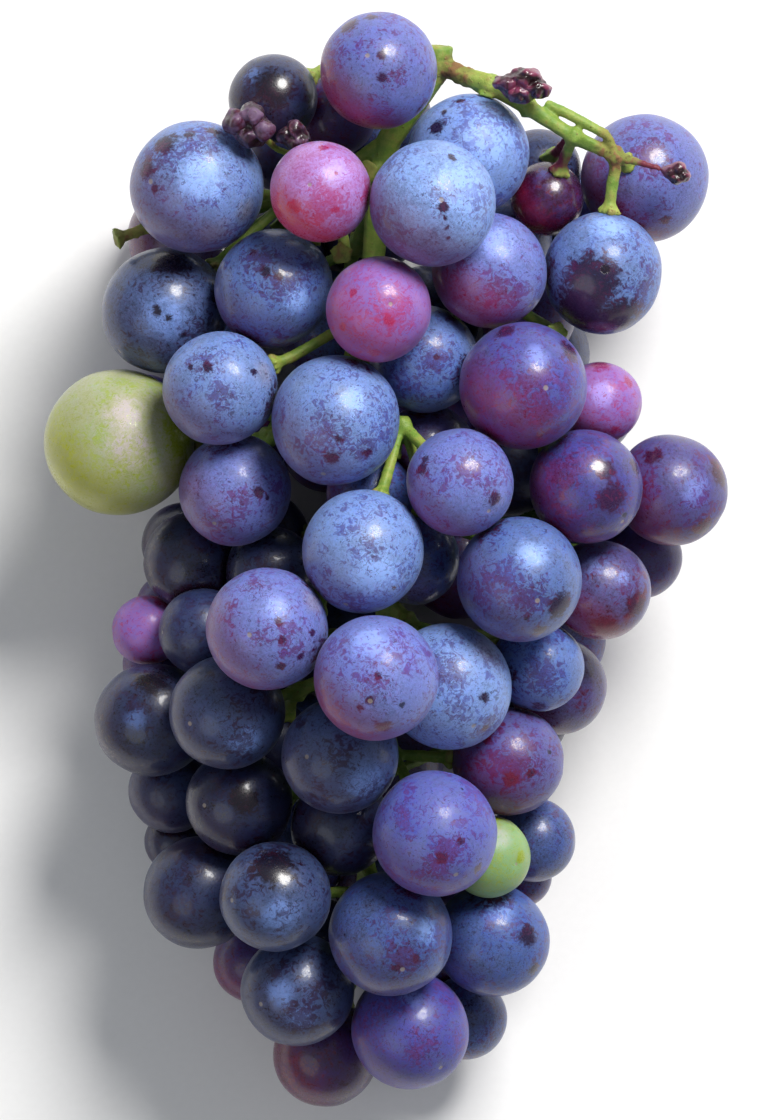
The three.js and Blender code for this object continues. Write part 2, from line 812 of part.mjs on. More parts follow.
function stemSolid() {
  const trunkRadii = TRUNK.map((_, i) =>
    THREE.MathUtils.lerp(TRUNK_DIAMETER, TRUNK_TIP_DIAMETER, i / (TRUNK.length - 1)) / 2,
  );
  const thin = STALK_DIAMETER / 2;
  const thick = BRANCH_DIAMETER / 2;
  const collar = COLLAR_DIAMETER / 2;
  const dry = DRY_STALK_DIAMETER / 2;
  const swelling = thick * SWELLING;
  const placesOf = (path) => path.map((point) => points[point].at);
  const pieces = [
    bar(TRUNK, trunkRadii, TRUNK_SIDES),
    bar(ARM, ARM_GIRTH.map((share) => thick * share), STEM_SIDES),
    bar(TWIN_STALK, TWIN_STALK.map(() => thin * STALK_WAIST), STALK_SIDES),
    ...sideBranches.map((path) => {
      const radii = BRANCH_GIRTH.map((share) => thick * share);
      return bar(placesOf(path), radii, STEM_SIDES);
    }),
  ];
  const forks = new Set([...berries, ...emptyStalks].map(({ node }) => node));
  forks.forEach((node) => pieces.push(knot(points[node].at, swelling)));
  for (const { node, bend, seat, group, name } of [...berries, ...emptyStalks]) {
    const [fork, turn, end] = placesOf([node, bend, seat]);
    const foot = fork.clone().addScaledVector(turn.clone().sub(fork).normalize(), swelling / 2);
    if (group) {
      pieces.push(bar([foot, turn, end], [thin, thin, collar], INNER_STALK_SIDES));
    } else if (name) {
      pieces.push(bar([foot, turn, end], [thin, dry, dry], STALK_SIDES));
    } else {
      const neck = end.clone().lerp(turn, COLLAR_LENGTH / end.distanceTo(turn));
      pieces.push(bar([foot, turn, neck, end], [thin * STALK_WAIST, thin, thin, collar], STALK_SIDES));
    }
  }
  return pieces.reduce((whole, piece) => whole.add(piece));
}

// ---------------------------------------------------------------- the bunch

fixedStem(TRUNK, TRUNK_DIAMETER / 2);
fixedStem(TWIN_STALK, STALK_DIAMETER / 2);
BRANCHES.forEach(plantBranch);
settle();

const bunch = new THREE.Group();

function addPiece(name, geometry, colour) {
  const mesh = new THREE.Mesh(geometry, skin(colour));
  mesh.name = name;
  bunch.add(mesh);
}

addPiece("stem", withoutSlivers(withoutPockets(toGeometry(stemSolid())), SHORTEST_EDGE), "stem");

const singleBall = new THREE.OctahedronGeometry(1, 3);
const joinedBall = new THREE.IcosahedronGeometry(1, 1);
const counts = {};
for (const berry of berries.filter(({ group, name }) => !group && !name)) {
  counts[berry.colour] = (counts[berry.colour] ?? 0) + 1;
  const number = String(counts[berry.colour]).padStart(2, "0");
  addPiece(`${berry.colour}_berry_${number}`, toGeometry(berrySolid(berry, singleBall)), berry.colour);
}

const groups = Map.groupBy(berries.filter(({ group }) => group), ({ group }) => group);
for (const [letter, members] of groups) {
  const solids = members.map((berry) => berrySolid(berry, joinedBall));
  const whole = solids.reduce((sum, solid) => sum.add(solid));
  addPiece(`inner_berries_${letter}`, toGeometry(whole), "slate");
}

for (const raisin of berries.filter(({ name }) => name)) {
  addPiece(raisin.name, toGeometry(raisinSolid(raisin)), raisin.colour);
}

// The middle of the bunch's underside is the part's own zero point.
const box = new THREE.Box3().setFromObject(bunch);
const middle = box.getCenter(new THREE.Vector3());
bunch.position.set(-middle.x, -middle.y, 0);

export default bunch;
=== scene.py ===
"""A cone-shaped bunch of round dark grapes on a green stem, lying down on a pale floor.

The file is laid out as a Blender add-on and is run as a script. The frame gives every size and
place; each piece stands for one node of the frame.
"""

import math
import random

import bmesh
import bpy
import numpy as np
from bpy.props import FloatProperty, FloatVectorProperty, PointerProperty
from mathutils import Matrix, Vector, noise
from mathutils.bvhtree import BVHTree


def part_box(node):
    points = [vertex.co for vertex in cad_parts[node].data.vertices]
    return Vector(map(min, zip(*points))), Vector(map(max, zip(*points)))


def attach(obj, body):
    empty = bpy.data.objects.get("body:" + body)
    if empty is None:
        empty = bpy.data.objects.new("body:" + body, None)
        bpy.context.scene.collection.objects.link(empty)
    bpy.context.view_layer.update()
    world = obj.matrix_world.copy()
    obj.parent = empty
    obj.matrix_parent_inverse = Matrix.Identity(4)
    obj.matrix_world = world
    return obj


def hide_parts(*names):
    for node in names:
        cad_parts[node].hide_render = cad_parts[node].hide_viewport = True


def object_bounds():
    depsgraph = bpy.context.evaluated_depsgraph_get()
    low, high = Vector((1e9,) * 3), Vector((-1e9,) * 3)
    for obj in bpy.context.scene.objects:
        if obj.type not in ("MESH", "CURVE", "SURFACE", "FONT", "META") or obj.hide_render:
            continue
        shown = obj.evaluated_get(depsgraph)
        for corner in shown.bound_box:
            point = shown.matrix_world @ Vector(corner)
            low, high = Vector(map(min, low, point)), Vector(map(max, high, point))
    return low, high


bl_info = {
    "name": "Grape bunch",
    "version": (1, 0, 0),
    "blender": (4, 5, 0),
    "location": "3D Viewport > Sidebar > Grapes",
    "description": "Builds a bunch of bloomed dark grapes around its frame",
    "category": "Mesh",
}

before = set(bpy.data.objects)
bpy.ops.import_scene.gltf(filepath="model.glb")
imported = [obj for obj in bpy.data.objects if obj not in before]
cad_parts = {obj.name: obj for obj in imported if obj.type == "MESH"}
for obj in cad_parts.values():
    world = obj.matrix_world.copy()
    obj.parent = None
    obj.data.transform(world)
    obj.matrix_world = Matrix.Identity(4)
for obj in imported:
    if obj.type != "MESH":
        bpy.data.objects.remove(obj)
frame_box = [list(corner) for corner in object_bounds()]

MM = 0.001
ROOT = "root"


# ---------------------------------------------------------------- settings


def colour(label, description, code):
    """A colour property whose default is an sRGB code."""
    parts = [int(code[i : i + 2], 16) / 255 for i in (1, 3, 5)]
    linear = [p / 12.92 if p <= 0.04045 else ((p + 0.055) / 1.055) ** 2.4 for p in parts]
    return FloatVectorProperty(
        name=label,
        description=description,
        default=linear,
        subtype="COLOR",
        size=3,
        min=0,
        max=1,
    )


def share(label, description, value):
    """A property between 0 and 1."""
    return FloatProperty(name=label, description=description, default=value, min=0, max=1, subtype="FACTOR")


def distance(label, description, millimetres):
    """A length property."""
    return FloatProperty(
        name=label,
        description=description,
        default=millimetres * MM,
        min=0,
        subtype="DISTANCE",
        unit="LENGTH",
    )


def skin_settings(family, pale, deep, bare, blushed, flesh, freckles, translucency):
    """The settings of one colour of berry."""
    return type(
        family.capitalize() + "SkinSettings",
        (bpy.types.PropertyGroup,),
        {
            "__doc__": f"Colours and finish of the {family} berries.",
            "__annotations__": {
                "pale": colour("Pale bloom", "Thick bloom, where light is strongest", pale),
                "deep": colour("Deep bloom", "Thin bloom, with the skin showing through", deep),
                "bare": colour("Bare skin", "Skin where the bloom was rubbed off", bare),
                # Blush and painted shade: the side of a berry away from the key light is mixed towards this
                # colour.
                "blushed": colour("Blushed skin", "Skin on the side that ripened in shade", blushed),
                "flesh": colour("Flesh", "How far red, green and blue light travel inside", flesh),
                "freckles": share("Freckles", "How thickly dark specks lie in the bloom", freckles),
                "translucency": share("Translucency", "Light that goes through the flesh", translucency),
            },
        },
    )


FAMILIES = {
    "blue": skin_settings("blue", "#8babea", "#3e60b4", "#1d0d2c", "#702c58", "#ff5a48", 0.5, 0.12),
    "violet": skin_settings("violet", "#869ae4", "#4c52ac", "#2e103a", "#8c2450", "#ff4a48", 0.5, 0.18),
    # Slate: the blue colours made darker, partly the berries' own tone and partly painted shade for berries
    # that lie in the shade of others.
    "slate": skin_settings("slate", "#6c88c6", "#283262", "#120b1a", "#431d36", "#ff5a50", 0.45, 0.1),
    "plum": skin_settings("plum", "#7c8cd2", "#463e8c", "#360c2c", "#861c3c", "#ff4040", 0.4, 0.18),
    "pink": skin_settings("pink", "#b49ce6", "#7c66b8", "#8e2c64", "#c82a46", "#ff6a58", 0.5, 0.3),
    "green": skin_settings("green", "#b4aaaa", "#7ea678", "#84961a", "#b4b42a", "#f0ff40", 0.4, 0.42),
}


class BerrySettings(bpy.types.PropertyGroup):
    """Shape of every berry, beside what the frame says."""

    swell: distance("Swell", "How far a berry grows past its frame, to meet its neighbours", 0.24)
    slimness: share("Slimness", "Width over length, the length being along the stalk", 0.97)
    lumps: distance("Lumps", "Height of the wide low swellings of the skin", 0.13)
    softness: distance("Softness", "How gently a pressed skin turns flat", 0.16)


class StemSettings(bpy.types.PropertyGroup):
    """Colours and relief of the stem and its dried parts."""

    green: colour("Green", "Young stem in full colour", "#6b8c34")
    yellow: colour("Yellow green", "Thick stalks and swollen ends", "#a0aa50")
    # Painted shade: the bark is darkened towards this colour the lower the stem lies in the bunch.
    shade: colour("Shaded green", "Stem in the depth of the bunch", "#3f5f26")
    cork: colour("Cork", "Warts and old joints", "#80603c")
    dry: colour("Dry stalk", "Stalks that dried with their berries", "#6a2032")
    grain: distance("Grain", "Distance between the points of the rebuilt surface", 0.3)
    warts: distance("Warts", "Height of the warts on joints and collars", 0.32)


class RaisinSettings(bpy.types.PropertyGroup):
    """Colours and folds of the berries that dried on their stalks."""

    ridge: colour("Ridges", "Tops of the folds", "#74304c")
    # Painted shade: this dark colour lies in the bottoms of the folds, and also darkens the dusty raisins.
    fold: colour("Folds", "Bottom of the folds", "#22070f")
    dust: colour("Dust", "Old bloom left on the ridges", "#8d7ca6")
    depth: distance("Fold depth", "From the ridges to the bottom of the folds", 0.8)


class StageSettings(bpy.types.PropertyGroup):
    """Camera, lights and floor."""

    height: FloatProperty(
        name="Camera height",
        description="From the floor to the camera, which looks straight down",
        default=1.445,
        unit="LENGTH",
    )
    lens: FloatProperty(name="Lens", description="Focal length in millimetres", default=300, min=20)
    key: FloatProperty(name="Key light", description="Power of the large light", default=20, min=0)
    fill: FloatProperty(name="Fill light", description="Power of the fill light", default=2.2, min=0)
    sky: FloatProperty(name="Sky", description="Strength of the light from all round", default=0.28, min=0)


class BunchSettings(bpy.types.PropertyGroup):
    """Everything that a user would change."""

    berries: PointerProperty(type=BerrySettings)
    stem: PointerProperty(type=StemSettings)
    raisins: PointerProperty(type=RaisinSettings)
    stage: PointerProperty(type=StageSettings)


BunchSettings.__annotations__.update(
    {family: PointerProperty(type=settings) for family, settings in FAMILIES.items()}
)


# ---------------------------------------------------------------- material nodes


class Value:
    """A number that varies over a surface: a socket that can be calculated with."""

    def __init__(self, recipe, socket):
        self.recipe = recipe
        self.socket = socket

    def maths(self, operation, first, second=0.0):
        made = self.recipe.node("ShaderNodeMath", {"operation": operation}, {0: first, 1: second})
        return Value(self.recipe, made.outputs[0])

    def __add__(self, other):
        return self.maths("ADD", self, other)

    def __radd__(self, other):
        return self.maths("ADD", other, self)

    def __sub__(self, other):
        return self.maths("SUBTRACT", self, other)

    def __rsub__(self, other):
        return self.maths("SUBTRACT", other, self)

    def __mul__(self, other):
        return self.maths("MULTIPLY", self, other)

    def __rmul__(self, other):
        return self.maths("MULTIPLY", other, self)

    def rise(self, low, high):
        """0 below low, 1 above high, and a smooth slope between; low may be the larger."""
        settings = {"interpolation_type": "SMOOTHSTEP"}
        made = self.recipe.node("ShaderNodeMapRange", settings, {0: self, 1: low, 2: high, 3: 0.0, 4: 1.0})
        return Value(self.recipe, made.outputs[0])

    def clipped(self):
        made = self.recipe.node("ShaderNodeClamp", {}, {0: self, 1: 0.0, 2: 1.0})
        return Value(self.recipe, made.outputs[0])


class Recipe:
    """A material being written: its node tree, and its one Principled shader."""

    def __init__(self, name):
        self.material = bpy.data.materials.new(name)
        self.material.use_nodes = True
        self.tree = self.material.node_tree
        self.tree.nodes.clear()
        self.shader = self.node("ShaderNodeBsdfPrincipled")
        self.node("ShaderNodeOutputMaterial", {}, {"Surface": self.shader.outputs[0]})

    def node(self, kind, settings=None, values=None):
        """Any node: its settings first, then the values or links of its sockets."""
        made = self.tree.nodes.new(kind)
        for key, setting in (settings or {}).items():
            setattr(made, key, setting)
        for key, value in (values or {}).items():
            self.feed(made.inputs[key], value)
        return made

    def feed(self, socket, value):
        if isinstance(value, Value):
            value = value.socket
        if isinstance(value, bpy.types.NodeSocket):
            self.tree.links.new(value, socket)
        elif socket.type == "RGBA" and len(value) == 3:
            socket.default_value = (*value, 1.0)
        else:
            socket.default_value = value

    def finish(self, **values):
        """Sets the shader's own sockets, with _ for a space in their names."""
        for key, value in values.items():
            self.feed(self.shader.inputs[key.replace("_", " ")], value)
        return self.material

    def number(self, name):
        made = self.node("ShaderNodeAttribute", {"attribute_name": name})
        return Value(self, made.outputs["Fac"])

    def place(self, name):
        return self.node("ShaderNodeAttribute", {"attribute_name": name}).outputs["Vector"]

    def cloud(self, place, scale, detail=2.0, roughness=0.5, distortion=0.0):
        """Noise from about 0.2 to 0.8; scale is in bumps per unit of place."""
        values = {
            "Vector": place,
            "Scale": scale,
            "Detail": detail,
            "Roughness": roughness,
            "Distortion": distortion,
        }
        return Value(self, self.node("ShaderNodeTexNoise", {}, values).outputs[0])

    def cells(self, place, scale):
        """Distance to the nearest of scattered points, and a random number for that point."""
        made = self.node("ShaderNodeTexVoronoi", {}, {"Vector": place, "Scale": scale})
        lone = self.node("ShaderNodeSeparateColor", {}, {0: made.outputs["Color"]})
        return Value(self, made.outputs["Distance"]), Value(self, lone.outputs[0])

    def mix(self, share, first, second):
        """From the first colour to the second, as share goes from 0 to 1."""
        settings = {"data_type": "RGBA", "clamp_factor": True}
        return self.node("ShaderNodeMix", settings, {0: share, 6: first, 7: second}).outputs[2]

    def relief(self, height, depth, strength=1.0):
        """A bump of that depth, in metres."""
        values = {"Height": height, "Distance": depth, "Strength": strength}
        return self.node("ShaderNodeBump", {}, values).outputs[0]


# ---------------------------------------------------------------- shapes


def unit(vector):
    return vector / np.linalg.norm(vector)


def unit_ball(divisions):
    """Points and faces of a ball of radius 1, made of even triangles."""
    ball = bmesh.new()
    bmesh.ops.create_icosphere(ball, subdivisions=divisions, radius=1)
    points = np.array([v.co for v in ball.verts])
    faces = np.array([[v.index for v in f.verts] for f in ball.faces])
    ball.free()
    return points, faces


def across(axis):
    """Two directions square to an axis and to each other."""
    helper = np.array([1.0, 0, 0]) if abs(axis[0]) < 0.8 else np.array([0, 1.0, 0])
    side = unit(np.cross(axis, helper))
    return side, np.cross(axis, side)


def smooth_step(share):
    return share * share * (3 - 2 * share)


def rolls(points, size, octaves=2):
    """Smooth noise between about -1 and 1 at each point, with bumps of that size."""
    return np.array([noise.fractal(Vector(p / size), 0.8, 2.0, octaves) for p in points])


WELD = 0.01 * MM  # corners nearer than this are one


def frame_mesh(node):
    """The node's mesh as a bmesh with its corners joined."""
    mesh = bmesh.new()
    mesh.from_mesh(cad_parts[node].data)
    bmesh.ops.remove_doubles(mesh, verts=mesh.verts, dist=WELD)
    mesh.normal_update()
    return mesh


def add_piece(name, points, faces, materials, attributes, node, material_of_face=None):
    """A smooth mesh piece that stands for its node and rides with the bunch."""
    mesh = bpy.data.meshes.new(name)
    mesh.from_pydata(np.asarray(points).tolist(), [], np.asarray(faces).tolist())
    mesh.polygons.foreach_set("use_smooth", np.ones(len(mesh.polygons), bool))
    for material in materials:
        mesh.materials.append(material)
    if material_of_face is not None:
        mesh.polygons.foreach_set("material_index", material_of_face)
    for key, values in attributes.items():
        kind, field = ("FLOAT_VECTOR", "vector") if values.ndim == 2 else ("FLOAT", "value")
        mesh.attributes.new(key, kind, "POINT").data.foreach_set(field, values.ravel())
    mesh.update()
    piece = bpy.data.objects.new(name, mesh)
    bpy.context.scene.collection.objects.link(piece)
    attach(piece, ROOT)
    if node is not None:
        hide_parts(node)
    return piece


# ---------------------------------------------------------------- berries in the frame


class Berry:
    """One berry: where it is, which way its stalk leaves it, and its colour family."""

    def __init__(self, node, middle, radius, family, order=0):
        self.node = node
        self.middle = middle
        self.radius = radius
        self.family = family
        self.draw = random.Random(f"{node} {order}")
        seat = stem_surface.find_nearest(Vector(middle))[0]
        self.stalk_way = unit(np.array(seat) - middle)


def outer_berry(node):
    low, high = (np.array(corner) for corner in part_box(node))
    return Berry(node, (low + high) / 2, (high - low).max() / 2, node.split("_")[0])


def fitted_ball(points):
    """Middle and radius of the ball that passes nearest to the points."""
    table = np.hstack([2 * points, np.ones((len(points), 1))])
    solution = np.linalg.lstsq(table, (points**2).sum(1), rcond=None)[0]
    middle = solution[:3]
    return middle, math.sqrt(solution[3] + middle @ middle)


FEWEST_CORNERS = 5  # that a ball is fitted to


def inner_berries(node):
    """The berries of a joined node. They meet in hollow edges, so a berry is what lies between."""
    mesh = frame_mesh(node)
    resting = {f for f in mesh.faces if all(v.co.z < WELD for v in f.verts)}
    left = set(mesh.faces) - resting
    found = []
    while left:
        first = min(left, key=lambda f: f.index)
        left.remove(first)
        faces, edge_on = {first}, [first]
        while edge_on:
            for edge in edge_on.pop().edges:
                for face in edge.link_faces:
                    if face in left and edge.is_convex:
                        left.remove(face)
                        faces.add(face)
                        edge_on.append(face)
        whole = {v for f in faces for v in f.verts if all(g in faces for g in v.link_faces)}
        if len(whole) >= FEWEST_CORNERS:
            found.append(fitted_ball(np.array([v.co for v in sorted(whole, key=lambda v: v.index)])))
    mesh.free()
    return [
        Berry(node, middle, radius, family_inside(middle), order)
        for order, (middle, radius) in enumerate(found)
    ]


# Colours of the joined berries that can be seen from above; place in millimetres. Slate there is partly
# painted shade, for berries that lie in the shade of others.
SEEN_INSIDE = [
    ("plum", -9, 69, 33),
    ("slate", 24.5, 62, 23),
    ("blue", 17, 50.5, 30),
    ("plum", 22, 36.5, 24),
    ("plum", 4.7, 20.2, 30),
    ("blue", -2.2, 12, 38),
    ("blue", 5.8, -1.3, 39),
    ("slate", -32, 5.5, 14),
    ("slate", -29.5, 1, 27),
    ("slate", -19.8, -0.5, 34),
    ("slate", -27, -11, 31),
    ("plum", -33, -7, 14),
    ("plum", 40.3, -0.8, 21),
    ("slate", -18.7, -28, 24),
    ("slate", -33.2, -34.5, 19),
    ("slate", -32.2, -42, 13),
    ("blue", 22.3, -41, 25),
    ("blue", 12.2, -69.5, 13),
    ("plum", -23.8, -61.7, 13),
]
SEEN_REACH = 6 * MM
# Hidden berries are slate two times in five, partly as painted shade inside the bunch.
INSIDE_FAMILIES = ["slate", "slate", "blue", "violet", "plum"]


def family_inside(middle):
    for family, x, y, z in SEEN_INSIDE:
        if np.linalg.norm(middle - np.array([x, y, z]) * MM) < SEEN_REACH:
            return family
    return random.Random(str(np.round(middle * 1000))).choice(INSIDE_FAMILIES)


def stem_tree():
    mesh = frame_mesh("stem")
    tree = BVHTree.FromBMesh(mesh)
    mesh.free()
    return tree


stem_surface = stem_tree()
all_nodes = sorted(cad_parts)
OUTER = [outer_berry(n) for n in all_nodes if "_berry_" in n]
INNER = {n: inner_berries(n) for n in all_nodes if n.startswith("inner_berries")}
EVERY_BERRY = OUTER + [berry for group in INNER.values() for berry in group]
RAISINS = [n for n in all_nodes if n.startswith("raisin")]


# ---------------------------------------------------------------- how each berry ripened

# Bloom tone (0 pale, 1 deep), how much of the skin it covers, and how much blush and painted shade the side
# away from the key light gets.
RIPENESS = {
    "violet_berry_01": (0.35, 0.62, 0.55),
    "violet_berry_02": (0.45, 0.66, 1.0),
    "violet_berry_03": (0.3, 0.74, 0.85),
    "violet_berry_04": (0.8, 0.62, 0.6),
    "violet_berry_05": (0.9, 0.5, 0.5),
    "violet_berry_06": (0.3, 0.7, 0.35),
    "violet_berry_07": (0.35, 0.78, 0.6),
    "violet_berry_08": (0.35, 0.78, 0.5),
    "violet_berry_09": (0.35, 0.8, 0.7),
    "violet_berry_10": (0.75, 0.84, 0.3),
    "violet_berry_11": (0.95, 0.72, 0.15),
    "blue_berry_01": (0.4, 0.7, 0.2),
    "blue_berry_02": (0.2, 0.86, 0.1),
    "blue_berry_03": (0.3, 0.72, 0.5),
    "blue_berry_04": (0.55, 0.66, 0.45),
    "blue_berry_05": (0.0, 0.86, 0.8),
    "blue_berry_06": (0.6, 0.74, 0.2),
    "blue_berry_07": (0.3, 0.78, 0.45),
    "blue_berry_08": (0.3, 0.76, 0.5),
    "blue_berry_09": (0.25, 0.84, 0.4),
    "blue_berry_10": (0.6, 0.66, 0.35),
    "blue_berry_11": (0.2, 0.84, 0.2),
    "blue_berry_12": (0.6, 0.78, 0.15),
    "blue_berry_13": (0.75, 0.5, 0.2),
    "blue_berry_14": (0.8, 0.6, 0.15),
    "slate_berry_01": (0.8, 0.4, 0.3),
    "slate_berry_02": (0.3, 0.52, 0.2),
    "slate_berry_03": (0.8, 0.38, 0.2),
    "slate_berry_04": (0.6, 0.52, 0.3),
    "slate_berry_05": (0.4, 0.62, 0.4),
    "slate_berry_06": (0.8, 0.45, 0.2),
    "slate_berry_07": (0.9, 0.42, 0.2),
    "slate_berry_08": (0.8, 0.45, 0.15),
    "slate_berry_09": (0.55, 0.55, 0.15),
    "slate_berry_10": (0.6, 0.55, 0.2),
    "plum_berry_01": (0.9, 0.12, 0.6),
    "plum_berry_02": (0.7, 0.6, 0.5),
    "plum_berry_03": (0.4, 0.45, 0.6),
    "plum_berry_04": (0.5, 0.4, 0.4),
    "plum_berry_05": (0.6, 0.7, 0.4),
    "plum_berry_06": (0.9, 0.3, 0.3),
    "pink_berry_01": (0.1, 0.62, 1.0),
    "pink_berry_02": (0.8, 0.76, 0.4),
    "pink_berry_03": (0.75, 0.72, 0.3),
    "pink_berry_04": (0.95, 0.8, 0.1),
    "green_berry_01": (0.15, 0.6, 0.7),
    "green_berry_02": (0.95, 0.8, 0.0),
}
INSIDE_RIPENESS = (0.75, 0.5, 0.3)
# Blush and painted shade lie on this side of every berry, roughly away from the key light.
SHADED_SIDE = unit(np.array([-0.66, -0.66, -0.12]))
